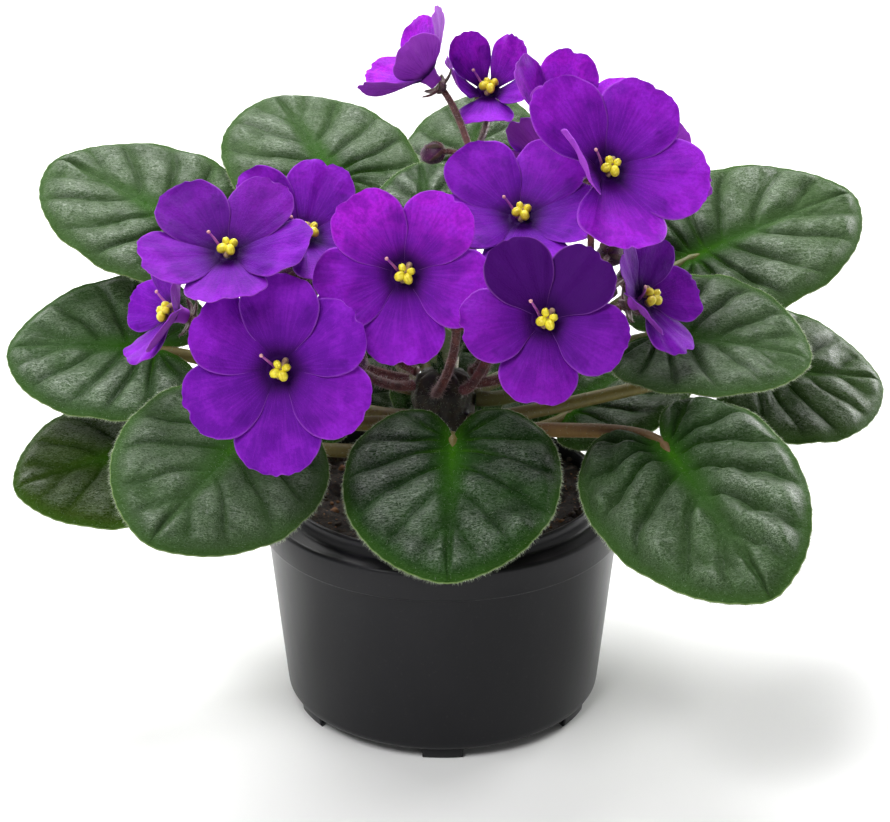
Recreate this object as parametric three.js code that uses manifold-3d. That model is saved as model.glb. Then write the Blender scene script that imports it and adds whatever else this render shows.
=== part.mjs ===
// A potted African violet: a black nursery pot filled with peat mix, and a rosette of round leaves on
// long stalks with a crown of violet flowers above it.
// Millimetres, +Z up. The origin is on the pot's axis, on the surface that the pot stands on.
// The plant is seen from -Y: azimuths turn from +X towards +Y, and -90 degrees faces the front.

import * as THREE from 'three';
import { mergeVertices } from 'three/addons/utils/BufferGeometryUtils.js';
import Module from 'manifold-3d';

const wasm = await Module();
wasm.setup();

// Driving dimensions

const CLEAR = 0.3;                 // gap between neighbouring pieces that touch
const JOIN = 0.5;                  // how far the forms of one piece run into each other

const POT_SIDES = 36;
const POT_FOOT_HEIGHT = 3;         // underside of the base plate
const POT_FLOOR = 5;               // inside floor
const POT_BASE_RADIUS = 49;
const POT_BODY_RADIUS = 54.2;      // just under the collar
const COLLAR_BOTTOM = 57;
const COLLAR_TOP = 66;
const COLLAR_RADIUS = 55.6;
const LIP_TOP = 70.7;
const LIP_OUTER = 49.5;
const LIP_INNER = 47.9;
const WALL = 1.6;
const SHOULDER = 56;               // inside corner under the collar
const BASE_ROUND = 3;              // outer corner round the base
const EDGE_ROUND = 0.6;            // small corners of the collar and the lip
const FOOT_OUTER = 47;
const FOOT_INNER = 42;
const FOOT_COUNT = 6;
const FOOT_GAP = 36;               // width of the slots that cut the foot ring
const PAD_RADIUS = 9;              // centre pad, level with the feet
const PAD_SIDES = 16;
const DRAIN_RADIUS = 3.5;
const DRAIN_SIDES = 8;
const DRAIN_CIRCLE = 32;

const SOIL_TOP = 67.6;
const SOIL_BUMP = 1.1;             // height of the crumbs in the peat
const SOIL_RINGS = [18.5, 27, 36, 44];
const SOIL_GAP = 0.5;              // gap to the lip, whose inside has flat sides
const SOIL_SEGMENTS = 18;
const SOIL_SEED = 7;

const CROWN_AT = [0, 3];           // the plant's stem in plan
const CROWN_RADIUS = 10;
const CROWN_BOTTOM = 58;
const CROWN_TOP = 106;
const CROWN_SIDES = 12;
const NECK_RADIUS = 6;             // the bare stem under the leaves
const NECK_TOP = 69;
const LEAVES_BOTTOM = 76;          // where the lowest leaf stalks stand

const YOUNG_LEAVES = 3;
const YOUNG_LENGTH = 13;
const YOUNG_WIDTH = 11;
const YOUNG_ARCH = 1;
const YOUNG_CUP = 2;
const YOUNG_PITCH = 74;            // how steeply the young leaves stand
const YOUNG_AZIMUTH = 20;          // the first one's
const YOUNG_SPREAD = 2;            // their distance from the crown's axis
const YOUNG_SUNK = 1;              // how deep they stand in the crown's top
const YOUNG_STALK = 6;
const YOUNG_RIB = 4;               // how far the stalk runs on under the blade
const YOUNG_STALK_RADII = [1.3, 0.9];

const LEAF_THICKNESS = 1.1;
const PETIOLE_SIDES = 5;
const PETIOLE_ROOT_RADIUS = 2.4;
const PETIOLE_TOP_RADIUS = 1.9;
const MIDRIB_TIP_RADIUS = 0.7;
const MIDRIB_SHARE = 0.5;          // share of the blade's length that the raised midrib runs under
const PETIOLE_STEPS = 6;
const PETIOLE_OUT = 0.3;           // how far a leaf's stalk heads straight out of the crown, and how far
const PETIOLE_IN = 0.25;           // straight into the blade, as shares of its reach
const VEIN_MIDDLE = 0.55;          // where a blade's middle row of points stands on the side veins
const WAVE_HEIGHT = 0.012;         // waves along a blade's edge: height in blade lengths, and radians
const WAVE_TURN = 19;              // per blade length

const PETAL_THICKNESS = 0.8;
const PETAL_CLOSING = 0.7;         // how much of a petal's cup narrows it
const PETAL_BOW = 0.06;            // bow of a petal along its length, for each degree of cup under
const STRAIGHT_CUP = 22;           // the cup at which it is straight
const EDGE_LIFT = 0.95;            // how far a petal's edge stands over or under its neighbour's
const HINGE_RADIUS = 2.6;          // where the petals begin
const THROAT_RADIUS = 3.7;
const THROAT_SIDES = 7;
const TUBE_RADIUS = 2.2;           // back end of the corolla's tube
const TUBE_DEPTH = 4.6;
const STYLE_FOOT = [-1, 0.5, -1];
const STYLE_REACH = [-3.6, 2.8, 6.56];
const STYLE_RADII = [0.55, 0.45];
const ANTHER_LOBES = 4;
const ANTHER_RADIUS = 3.3;
const ANTHER_NOTCH_RADIUS = 1.9;
const ANTHER_BOTTOM = 1.7;         // heights above the throat
const ANTHER_TOP = 4.8;
const ANTHER_ROUND = 1;            // height of the round ends
const ANTHER_END = 0.5;            // width of the ends, as a share
const ANTHER_DIMPLE = 0.5;
const ANTHER_OFFSET = [0.5, -0.4]; // aside of the flower's axis, opposite the style

const PEDUNCLE_RADII = [1.6, 1.36];
const PEDUNCLE_ELBOW = 6;          // how far a stalk heads straight out of the crown
const PEDUNCLE_BEND = 0.5;         // how far it heads straight up below its fork, as a share
const PEDUNCLE_STEPS = 5;
const PEDUNCLE_SIDES = 5;
const PEDICEL_RADII = [1.08, 0.9];
const PEDICEL_BEND = 0.25;         // how far a pedicel runs straight on behind its flower
const PEDICEL_STEPS = 3;
const PEDICEL_SIDES = 4;
const BUD_WIDTH = 0.8;             // in bud lengths
const BUD_BEND = [0.6, 0.3];       // a bud's stalk bends this far along, and this far over it
const STALK_HEIGHT = 103;          // where the flower stalks leave the crown, above the leaves
const SEPAL_LENGTH = 6.5;
const SEPAL_COUNT = 5;
const SEPAL_RISE = 0.5;            // how far a sepal's tip stands forward
const SEPAL_THICKNESS = 1.4;

const COLOURS = {
  pot: ['#2b2c2e', 0.55],
  soil: ['#2a1f19', 0.95],
  crown: ['#5d6b3f', 0.8],
  leaf: ['#35522f', 0.75],
  stalk: ['#5b2f35', 0.75],
  petal: ['#6a22b0', 0.6],
  anther: ['#e3d01c', 0.55],
};

// Half outline of a leaf blade, from the notch at its stalk to its tip: along in blade lengths,
// across in half widths.
const BLADE_OUTLINE = [
  [-0.13, 0.07], [-0.25, 0.25], [-0.26, 0.5], [-0.14, 0.8], [0.06, 0.97], [0.28, 1.0],
  [0.55, 0.9], [0.78, 0.65], [0.93, 0.34],
];
// Where the side vein to each of those points leaves the midrib, in blade lengths.
const VEIN_ROOTS = [0, 0, 0, 0.02, 0.08, 0.2, 0.38, 0.58, 0.76];
const YOUNG_OUTLINE = [[-0.1, 0.3], [0.1, 0.95], [0.5, 1], [0.85, 0.5]];
const YOUNG_ROOTS = [0, 0.05, 0.35, 0.7];

// Every full-grown leaf: where its blade meets its stalk, the way the blade heads (azimuth), its pitch
// up from level, its roll about its midrib, length from stalk to tip, width, how far the tip arches
// down, how far the sides cup up, and the azimuth and height at which its stalk leaves the crown.
const LEAVES = {
  leaf_front: {
    at: [3, -28, 97], heading: -92, pitch: -18, roll: 2,
    size: [56, 63], arch: 3, cup: -2.5, root: [-92, 88],
  },
  leaf_front_left: {
    at: [-57, -27, 99], heading: -116, pitch: -13, roll: -23,
    size: [55, 60], arch: 1, cup: -2, root: [-150, 92],
  },
  leaf_front_right: {
    at: [63, -44, 102], heading: -72, pitch: -8, roll: 20,
    size: [68, 59], arch: 8, cup: -3, root: [-38, 92],
  },
  leaf_left: {
    at: [-88, 20, 107], heading: 178, pitch: 4, roll: -25,
    size: [48, 62], arch: 5, cup: 1, root: [172, 90],
  },
  leaf_low_left: {
    at: [-88, 8, 79], heading: -158, pitch: -4, roll: -18,
    size: [46, 60], arch: 4, cup: -1, root: [-172, 80],
  },
  leaf_right: {
    at: [65, 3, 118], heading: -17, pitch: 2, roll: 16,
    size: [46, 61], arch: 5, cup: 3, root: [-5, 97],
  },
  leaf_low_right: {
    at: [98, 40, 92], heading: 15, pitch: -6, roll: 30,
    size: [50, 58], arch: 5, cup: 0, root: [18, 88],
  },
  leaf_back_right: {
    at: [78, 40, 130], heading: 24, pitch: 17, roll: 22,
    size: [62, 66], arch: 5, cup: 0, root: [38, 97],
  },
  leaf_back_left: {
    at: [-80, 47, 137], heading: 148, pitch: 20, roll: -17,
    size: [58, 62], arch: 6, cup: 0, root: [150, 98],
  },
  leaf_back: {
    at: [-34, 62, 148], heading: 115, pitch: 20, roll: -6,
    size: [59, 62], arch: 5, cup: 0, root: [125, 98],
  },
  leaf_rear: {
    at: [8, 72, 147], heading: 80, pitch: 20, roll: 4,
    size: [55, 50], arch: 4, cup: -4, root: [84, 92],
  },
  leaf_inner: {
    at: [-4, 21, 144], heading: 96, pitch: 24, roll: -10,
    size: [38, 38], arch: 3, cup: -1, root: [92, 98],
  },
  leaf_low_rear_left: {
    at: [-34, 38, 80], heading: 130, pitch: 14, roll: 0,
    size: [56, 58], arch: 5, cup: -1, root: [126, 78],
  },
  leaf_low_rear: {
    at: [-6, 58, 90], heading: 96, pitch: 10, roll: 0,
    size: [58, 60], arch: 5, cup: -1, root: [96, 80],
  },
  leaf_low_rear_right: {
    at: [40, 34, 80], heading: 48, pitch: 14, roll: 0,
    size: [56, 58], arch: 5, cup: -1, root: [38, 78],
  },
};

// One flower's petals, going round from the top: angle from the top towards the left as one faces
// it, length from the centre, full width, and whether its further and its nearer edge (as the angle
// grows) lie over their neighbours or under them.
const PETALS = [
  { turn: 36, length: 26.5, width: 22, over: [1, 1] },
  { turn: 106, length: 26, width: 24, over: [1, -1] },
  { turn: 180, length: 27, width: 24, over: [-1, -1] },
  { turn: -106, length: 26, width: 24, over: [-1, 1] },
  { turn: -36, length: 26, width: 22, over: [-1, 1] },
];
const SIX_PETALS = [
  { turn: 0, length: 25, width: 21, over: [1, 1] },
  { turn: 58, length: 26, width: 21, over: [1, -1] },
  { turn: 118, length: 27, width: 22, over: [1, -1] },
  { turn: 180, length: 28, width: 23, over: [-1, -1] },
  { turn: -118, length: 26, width: 22, over: [-1, 1] },
  { turn: -58, length: 25, width: 21, over: [-1, 1] },
];
// Half outline of a petal: along in petal lengths, across in half widths.
const PETAL_OUTLINE = [[0, 0.13], [0.34, 0.8], [0.66, 1.0], [0.91, 0.66]];

// Every flower: where its throat is, the azimuth and pitch that it faces, its spin, its size against
// the petals above, and how far its petals stand forward, in degrees, from the top one round.
const FLOWERS = {
  front_left: {
    at: [-45, -53, 128], faces: [-92, 26], spin: 0, size: 1.06,
    cup: [8, 8, 8, 8, 8, 8], petals: SIX_PETALS,
  },
  upper_left: { at: [-60, -35, 156], faces: [-97, 61], spin: 10, size: 0.99, cup: [16, 20, 20, 20, 16] },
  behind_left: { at: [-41, 6, 148], faces: [-60, 55], spin: 0, size: 0.98, cup: [20, 55, 25, 20, 20] },
  far_left: { at: [-79, -12, 130], faces: [-160, 25], spin: 0, size: 0.74, cup: [30, 30, 30, 30, 30] },
  centre: { at: [-11, -33, 149], faces: [-90, 30], spin: 0, size: 1.0, cup: [10, 10, 10, 10, 10] },
  upper: { at: [23, 0, 155.5], faces: [-95, 59], spin: 8, size: 1.08, cup: [16, 20, 20, 20, 16] },
  front_right: { at: [28, -54, 143], faces: [-88, 34], spin: -8, size: 0.92, cup: [14, 10, 8, 10, 14] },
  high_right: { at: [46, -24, 177], faces: [-70, 40], spin: -6, size: 1.12, cup: [12, 58, 22, 15, 12] },
  far_right: { at: [58, -20, 137], faces: [-35, 30], spin: 0, size: 0.76, cup: [25, 40, 25, 25, 25] },
  top: { at: [14, 46, 181.5], faces: [-95, 60], spin: 0, size: 0.76, cup: [48, 58, 20, 35, 48] },
  top_left: { at: [-5, 32, 190.5], faces: [176, 45], spin: 36, size: 0.82, cup: [42, 42, 42, 42, 42] },
  top_right: { at: [36, 22, 178], faces: [-50, 62], spin: 0, size: 0.92, cup: [38, 60, 45, 45, 38] },
  rear_right: { at: [62, 22, 164], faces: [40, 25], spin: 0, size: 0.8, cup: [20, 20, 20, 20, 20] },
  rear: { at: [36, 46, 156], faces: [80, 35], spin: 0, size: 0.84, cup: [20, 20, 20, 20, 20] },
};

// Every flower stalk: the azimuth at which it stands on the crown, the point where it forks, how far
// it leans aside below that, the flowers that it carries, and its buds as a place and a length.
const STALKS = {
  stalk_front_left: {
    root: -150, fork: [-28, -26, 126],
    flowers: ['front_left'], buds: [[-24, -36, 124, 7]],
  },
  stalk_left: { root: -180, fork: [-48, -8, 134], flowers: ['upper_left', 'far_left'], buds: [] },
  stalk_rear_left: {
    root: 140, fork: [-30, 12, 134],
    flowers: ['behind_left'], buds: [[-40, -2, 133, 7]],
  },
  stalk_front: {
    root: -100, fork: [4, -24, 130],
    flowers: ['centre', 'front_right'], buds: [[12, -28, 126, 7]],
  },
  stalk_upper: { root: -55, fork: [20, 2, 140], flowers: ['upper'], buds: [[8, -4, 150, 9]] },
  stalk_right: {
    root: -14, fork: [43, -22, 134],
    flowers: ['far_right', 'high_right'], buds: [[38, -24, 146, 8]],
  },
  stalk_rear: { root: 35, fork: [26, 24, 152], flowers: ['top_right', 'rear_right', 'rear'], buds: [] },
  stalk_top: {
    root: 10, fork: [9, 18, 168], lean: [8, -12],
    flowers: ['top', 'top_left'], buds: [[-3, 24, 168, 8]],
  },
};

const DEGREES = Math.PI / 180;
const vec = (x, y, z) => new THREE.Vector3(x, y, z);

// Seeded random numbers from 0 to 1, for the crumbs of the soil.
function randomFrom(seed) {
  let state = seed;
  return () => {
    state = (state * 1664525 + 1013904223) % 4294967296;
    return state / 4294967296;
  };
}

function direction(azimuth, pitch) {
  const level = Math.cos(pitch * DEGREES);
  const turn = azimuth * DEGREES;
  return vec(level * Math.cos(turn), level * Math.sin(turn), Math.sin(pitch * DEGREES));
}

// Solids and unions

function geometryFrom(points, faces) {
  const geometry = new THREE.BufferGeometry();
  const values = points.flatMap((p) => [p.x, p.y, p.z]);
  geometry.setAttribute('position', new THREE.Float32BufferAttribute(values, 3));
  geometry.setIndex(faces.flat());
  return geometry;
}

function solidOf(geometry) {
  const bare = geometry.clone();
  bare.deleteAttribute('normal');
  bare.deleteAttribute('uv');
  const merged = mergeVertices(bare, 1e-4);
  return new wasm.Manifold(new wasm.Mesh({
    numProp: 3,
    vertProperties: new Float32Array(merged.attributes.position.array),
    triVerts: new Uint32Array(merged.index.array),
  }));
}

function geometryOf(solid) {
  const mesh = solid.getMesh();
  const geometry = new THREE.BufferGeometry();
  const values = new Float32Array(mesh.vertProperties);
  geometry.setAttribute('position', new THREE.BufferAttribute(values, 3));
  geometry.setIndex(new THREE.BufferAttribute(new Uint32Array(mesh.triVerts), 1));
  return geometry;
}

function union(geometries) {
  return geometries.map(solidOf).reduce((whole, piece) => whole.add(piece));
}

function meshOf(name, geometry, kind) {
  const [color, roughness] = COLOURS[kind];
  const facets = geometry.index ? geometry.toNonIndexed() : geometry;
  facets.computeVertexNormals();
  const mesh = new THREE.Mesh(facets, new THREE.MeshStandardMaterial({ color, roughness, metalness: 0 }));
  mesh.name = name;
  return mesh;
}

// A closed thin sheet: rows of points across the upper face, repeated a thickness below along Z.
// Rows may end in a shared point, and the triangles are alike on both faces.
function sheet(rows, thickness) {
  const width = rows[0].length;
  const top = rows.flat();
  const points = [...top, ...top.map((p) => vec(p.x, p.y, p.z - thickness))];
  const faces = [];
  const below = top.length;
  const same = (i, j) => points[i].distanceTo(points[j]) < 1e-6;
  const add = (a, b, c) => {
    if (!same(a, b) && !same(b, c) && !same(c, a)) faces.push([a, b, c]);
  };
  for (let row = 0; row < rows.length - 1; row += 1) {
    for (let i = 0; i < width - 1; i += 1) {
      const [a, b] = [row * width + i, row * width + i + 1];
      const [c, d] = [b + width, a + width];
      add(a, b, c);
      add(a, c, d);
      add(below + a, below + c, below + b);
      add(below + a, below + d, below + c);
    }
  }
  const rim = [];
  for (let i = 0; i < width; i += 1) rim.push(i);
  for (let row = 1; row < rows.length; row += 1) rim.push(row * width + width - 1);
  for (let i = width - 2; i >= 0; i -= 1) rim.push((rows.length - 1) * width + i);
  for (let row = rows.length - 2; row > 0; row -= 1) rim.push(row * width);
  rim.forEach((a, i) => {
    const b = rim[(i + 1) % rim.length];
    add(a, below + a, below + b);
    add(a, below + b, b);
  });
  return geometryFrom(points, faces);
}

// A closed tube along a curve, whose radius goes evenly through the given values.
function tube(curve, radii, steps, sides) {
  const frames = curve.computeFrenetFrames(steps, false);
  const points = [];
  const faces = [];
  for (let step = 0; step <= steps; step += 1) {
    const centre = curve.getPointAt(step / steps);
    const place = (step / steps) * (radii.length - 1);
    const low = Math.min(Math.floor(place), radii.length - 2);
    const radius = THREE.MathUtils.lerp(radii[low], radii[low + 1], place - low);
    for (let side = 0; side < sides; side += 1) {
      const angle = (side / sides) * 2 * Math.PI;
      points.push(centre.clone()
        .addScaledVector(frames.normals[step], Math.cos(angle) * radius)
        .addScaledVector(frames.binormals[step], Math.sin(angle) * radius));
    }
  }
  for (let step = 0; step < steps; step += 1) {
    for (let side = 0; side < sides; side += 1) {
      const next = (side + 1) % sides;
      const [a, b] = [step * sides + side, step * sides + next];
      faces.push([a, b, b + sides], [a, b + sides, a + sides]);
    }
  }
  for (let side = 1; side < sides - 1; side += 1) {
    faces.push([0, side + 1, side]);
    const end = steps * sides;
    faces.push([end, end + side, end + side + 1]);
  }
  return geometryFrom(points, faces);
}

// Pot and soil

function lathe(profile, sides) {
  const outline = profile.map(([radius, height]) => new THREE.Vector2(radius, height));
  const geometry = new THREE.LatheGeometry(outline, sides);
  geometry.rotateX(Math.PI / 2);
  return geometry;
}

function pot() {
  const wallFoot = POT_BASE_RADIUS - WALL;
  const feetTop = POT_FOOT_HEIGHT + JOIN;
  const shell = solidOf(lathe([
    [0, POT_FOOT_HEIGHT],
    [POT_BASE_RADIUS - BASE_ROUND, POT_FOOT_HEIGHT],
    [POT_BASE_RADIUS - BASE_ROUND / 4, POT_FOOT_HEIGHT + BASE_ROUND / 4],
    [POT_BASE_RADIUS, POT_FOOT_HEIGHT + BASE_ROUND],
    [POT_BODY_RADIUS, COLLAR_BOTTOM],
    [COLLAR_RADIUS, COLLAR_BOTTOM + EDGE_ROUND],
    [COLLAR_RADIUS, COLLAR_TOP - 2 * EDGE_ROUND],
    [COLLAR_RADIUS - 2 * EDGE_ROUND, COLLAR_TOP],
    [LIP_OUTER + EDGE_ROUND, COLLAR_TOP + EDGE_ROUND / 2],
    [LIP_OUTER, COLLAR_TOP + 1.5 * EDGE_ROUND],
    [LIP_OUTER, LIP_TOP - EDGE_ROUND],
    [LIP_OUTER - EDGE_ROUND, LIP_TOP],
    [LIP_INNER, LIP_TOP],
    [LIP_INNER, COLLAR_TOP - WALL],
    [POT_BODY_RADIUS - WALL, SHOULDER],
    [wallFoot, POT_FLOOR],
    [0, POT_FLOOR],
  ], POT_SIDES));
  let feet = solidOf(lathe([
    [FOOT_INNER, 0],
    [FOOT_OUTER, 0],
    [FOOT_OUTER + JOIN, feetTop],
    [FOOT_INNER, feetTop],
    [FOOT_INNER, 0],
  ], POT_SIDES));
  for (let i = 0; i < FOOT_COUNT; i += 1) {
    const slot = new THREE.BoxGeometry(4 * (FOOT_OUTER - FOOT_INNER), FOOT_GAP, 3 * POT_FOOT_HEIGHT);
    slot.translate(FOOT_INNER, 0, 0);
    slot.rotateZ((i / FOOT_COUNT) * 2 * Math.PI);
    feet = feet.subtract(solidOf(slot));
  }
  const pad = lathe([[0, 0], [PAD_RADIUS, 0], [PAD_RADIUS, feetTop], [0, feetTop]], PAD_SIDES);
  let body = shell.add(feet).add(solidOf(pad));
  for (let i = 0; i < FOOT_COUNT; i += 1) {
    const depth = 3 * (POT_FLOOR - POT_FOOT_HEIGHT);
    const drain = new THREE.CylinderGeometry(DRAIN_RADIUS, DRAIN_RADIUS, depth, DRAIN_SIDES);
    drain.rotateX(Math.PI / 2);
    drain.translate(DRAIN_CIRCLE, 0, (POT_FLOOR + POT_FOOT_HEIGHT) / 2);
    drain.rotateZ((i / FOOT_COUNT) * 2 * Math.PI);
    body = body.subtract(solidOf(drain));
  }
  return meshOf('pot', geometryOf(body), 'pot');
}

// The peat fills the pot to just under its lip, with a plain hole for the plant's stem.
function soil() {
  const random = randomFrom(SOIL_SEED);
  const hole = NECK_RADIUS + CLEAR;
  const holeFloor = CROWN_BOTTOM - CLEAR;
  const segments = SOIL_SEGMENTS;
  const edge = LIP_INNER - SOIL_GAP;
  const inset = WALL + 2 * CLEAR;
  const [cx, cy] = CROWN_AT;
  const across = SOIL_RINGS.map((radius) => ({ radius, height: SOIL_TOP, x: 0, y: 0, bump: SOIL_BUMP }));
  // Rings from the middle of the hole's floor, out over the top, down the side and back below.
  const rings = [
    { radius: hole, height: holeFloor, x: cx, y: cy },
    { radius: hole, height: SOIL_TOP, x: cx, y: cy },
    ...across,
    { radius: edge, height: SOIL_TOP, x: 0, y: 0 },
    { radius: edge, height: COLLAR_TOP - inset, x: 0, y: 0 },
    { radius: POT_BODY_RADIUS - inset, height: SHOULDER - CLEAR, x: 0, y: 0 },
    { radius: POT_BASE_RADIUS - inset, height: POT_FLOOR + CLEAR, x: 0, y: 0 },
  ];
  const points = [vec(cx, cy, holeFloor)];
  rings.forEach(({ radius, height, x, y, bump = 0 }) => {
    for (let i = 0; i < segments; i += 1) {
      const angle = (i / segments) * 2 * Math.PI;
      const z = height + bump * (2 * random() - 1);
      points.push(vec(x + radius * Math.cos(angle), y + radius * Math.sin(angle), z));
    }
  });
  points.push(vec(0, 0, POT_FLOOR + CLEAR));
  const faces = [];
  for (let i = 0; i < segments; i += 1) {
    const next = (i + 1) % segments;
    faces.push([0, 1 + i, 1 + next]);
    for (let ring = 0; ring < rings.length - 1; ring += 1) {
      const [a, b] = [1 + ring * segments + i, 1 + ring * segments + next];
      faces.push([a, a + segments, b + segments], [a, b + segments, b]);
    }
    const last = 1 + (rings.length - 1) * segments;
    faces.push([last + i, points.length - 1, last + next]);
  }
  return meshOf('soil', geometryFrom(points, faces), 'soil');
}

// Leaves

function bladeHeight(along, across, [length], arch, cup) {
  const drop = -arch * Math.max(along, 0) ** 2;
  const wave = WAVE_HEIGHT * length * Math.cos(along * WAVE_TURN);
  return drop + cup * across ** 2 + wave * Math.abs(across) ** 3;
}

// The blade lies along +X from the notch where its stalk joins it.
function blade(size, arch, cup, outline = BLADE_OUTLINE, roots = VEIN_ROOTS) {
  const [length, width] = size;
  const point = (along, across) => {
    const height = bladeHeight(along, across, size, arch, cup);
    return vec(along * length, (across * width) / 2, height);
  };
  const rows = [];
  outline.forEach(([along, across], i) => {
    const root = roots[i];
    const vein = (side, share) => point(THREE.MathUtils.lerp(root, along, share), side * across * share);
    rows.push([vein(-1, 1), vein(-1, VEIN_MIDDLE), vein(1, 0), vein(1, VEIN_MIDDLE), vein(1, 1)]);
  });
  const tip = point(1, 0);
  rows.push([tip, tip, tip, tip, tip]);
  const notch = point(0, 0);
  rows.unshift([notch, notch, notch, notch, notch]);
  return sheet(rows.reverse(), LEAF_THICKNESS);
}

function placeLeaf(object, { at, heading, pitch, roll }) {
  object.position.set(...at);
  object.rotation.set(roll * DEGREES, -pitch * DEGREES, heading * DEGREES, 'ZYX');
  object.updateMatrixWorld(true);
}

function leaf(name, row) {
  const frame = new THREE.Object3D();
  placeLeaf(frame, row);
  const inward = frame.matrixWorld.clone().invert();
  const outward = direction(row.root[0], 0);
  const start = vec(...CROWN_AT, row.root[1]).addScaledVector(outward, CROWN_RADIUS + CLEAR);
  const reach = start.distanceTo(vec(...row.at));
  const clearOfCrown = start.clone().addScaledVector(outward, PETIOLE_ROOT_RADIUS);
  const stalk = new THREE.CubicBezierCurve3(
    clearOfCrown.clone().applyMatrix4(inward),
    clearOfCrown.clone().addScaledVector(outward, reach * PETIOLE_OUT).applyMatrix4(inward),
    vec(-reach * PETIOLE_IN, 0, -PETIOLE_TOP_RADIUS),
    vec(0, 0, -PETIOLE_TOP_RADIUS),
  );
  const [length] = row.size;
  const ribPoints = [MIDRIB_SHARE / 2, MIDRIB_SHARE].map((along) => {
    const height = bladeHeight(along, 0, row.size, row.arch, row.cup) - LEAF_THICKNESS;
    return vec(along * length, 0, height);
  });
  const route = new THREE.CatmullRomCurve3([
    start.applyMatrix4(inward), ...stalk.getPoints(PETIOLE_STEPS), ...ribPoints,
  ]);
  const radii = [PETIOLE_ROOT_RADIUS, PETIOLE_TOP_RADIUS, PETIOLE_TOP_RADIUS, MIDRIB_TIP_RADIUS];
  const rib = tube(route, radii, PETIOLE_STEPS + 1, PETIOLE_SIDES);
  const geometry = geometryOf(union([blade(row.size, row.arch, row.cup), rib]));
  const mesh = meshOf(name, geometry, 'leaf');
  placeLeaf(mesh, row);
  return mesh;
}

// The plant's short stem, with the small young leaves that stand on its top.
function crown() {
  const [cx, cy] = CROWN_AT;
  const stem = lathe([
    [0, CROWN_BOTTOM], [NECK_RADIUS, CROWN_BOTTOM], [NECK_RADIUS, NECK_TOP], [CROWN_RADIUS, LEAVES_BOTTOM],
    [CROWN_RADIUS, CROWN_TOP], [0, CROWN_TOP],
  ], CROWN_SIDES);
  const pieces = [stem];
  for (let i = 0; i < YOUNG_LEAVES; i += 1) {
    const size = [YOUNG_LENGTH + i, YOUNG_WIDTH];
    const turn = YOUNG_AZIMUTH + (i * 360) / YOUNG_LEAVES;
    const young = blade(size, YOUNG_ARCH, YOUNG_CUP, YOUNG_OUTLINE, YOUNG_ROOTS);
    young.rotateY(-YOUNG_PITCH * DEGREES);
    young.rotateZ(turn * DEGREES);
    const rising = direction(turn, YOUNG_PITCH);
    const foot = direction(turn, 0).multiplyScalar(YOUNG_SPREAD);
    foot.z = CROWN_TOP - YOUNG_SUNK;
    const notch = foot.clone().addScaledVector(rising, YOUNG_STALK);
    const past = notch.clone().addScaledVector(rising, YOUNG_RIB);
    young.translate(notch.x, notch.y, notch.z);
    pieces.push(young, tube(new THREE.LineCurve3(foot, past), YOUNG_STALK_RADII, 1, PEDICEL_SIDES));
  }
  const mesh = meshOf('crown', geometryOf(union(pieces)), 'crown');
  mesh.position.set(cx, cy, 0);
  return mesh;
}

// Flowers

// A petal lies along +Y from its hinge at the throat. A flat one curls back at its tip, a cupped one
// curls forward and is narrower, as its neighbours close round it.
function petal({ length, width, over, turn }, cup, size) {
  const reach = length * size - HINGE_RADIUS;
  const half = (width * size * Math.cos(cup * PETAL_CLOSING * DEGREES)) / 2;
  const bow = PETAL_BOW * (STRAIGHT_CUP - cup);
  const rows = PETAL_OUTLINE.map(([along, across]) => {
    const y = along * reach;
    const z = 4 * bow * along * (1 - along);
    const lift = along > 0 ? EDGE_LIFT : EDGE_LIFT / 2;
    return [
      vec(-across * half, y, z + lift * over[0]),
      vec(0, y, z),
      vec(across * half, y, z + lift * over[1]),
    ];
  });
  const tip = vec(0, reach, 0);
  rows.push([tip, tip, tip]);
  const geometry = sheet(rows, PETAL_THICKNESS);
  geometry.rotateX(cup * DEGREES);
  geometry.translate(0, HINGE_RADIUS, 0);
  geometry.rotateZ(turn * DEGREES);
  return geometry;
}

function corolla(name, { size, cup, petals = PETALS }) {
  const blades = petals.map((row, i) => petal(row, cup[i], size));
  const throat = lathe([
    [0, -TUBE_DEPTH], [TUBE_RADIUS, -TUBE_DEPTH], [THROAT_RADIUS, JOIN], [0, CLEAR - JOIN],
  ], THROAT_SIDES);
  const styleFoot = vec(...STYLE_FOOT);
  const styleTip = styleFoot.clone().add(vec(...STYLE_REACH));
  const style = tube(new THREE.LineCurve3(styleFoot, styleTip), STYLE_RADII, 1, 3);
  return meshOf(name, geometryOf(union([...blades, throat, style])), 'petal');
}

// Two anthers of two round halves each, held together as a four-lobed body on one short filament.
function anthers(name) {
  const rings = [
    [ANTHER_END, ANTHER_BOTTOM],
    [1, ANTHER_BOTTOM + ANTHER_ROUND],
    [1, ANTHER_TOP - ANTHER_ROUND],
    [ANTHER_END, ANTHER_TOP],
  ];
  const around = 2 * ANTHER_LOBES;
  const points = [vec(0, 0, CLEAR)];
  for (const [share, z] of rings) {
    for (let i = 0; i < around; i += 1) {
      const angle = ((i + 0.5) / ANTHER_LOBES) * Math.PI;
      const radius = share * (i % 2 ? ANTHER_NOTCH_RADIUS : ANTHER_RADIUS);
      points.push(vec(radius * Math.cos(angle), radius * Math.sin(angle), z));
    }
  }
  points.push(vec(0, 0, ANTHER_TOP - ANTHER_DIMPLE));
  const faces = [];
  for (let i = 0; i < around; i += 1) {
    const next = (i + 1) % around;
    faces.push([0, 1 + next, 1 + i]);
    for (let ring = 0; ring < rings.length - 1; ring += 1) {
      const [c, d] = [1 + ring * around + i, 1 + ring * around + next];
      faces.push([c, d, d + around], [c, d + around, c + around]);
    }
    const last = 1 + (rings.length - 1) * around;
    faces.push([last + i, last + next, points.length - 1]);
  }
  const geometry = geometryFrom(points, faces);
  geometry.translate(...ANTHER_OFFSET, 0);
  return meshOf(name, geometry, 'anther');
}

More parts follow.
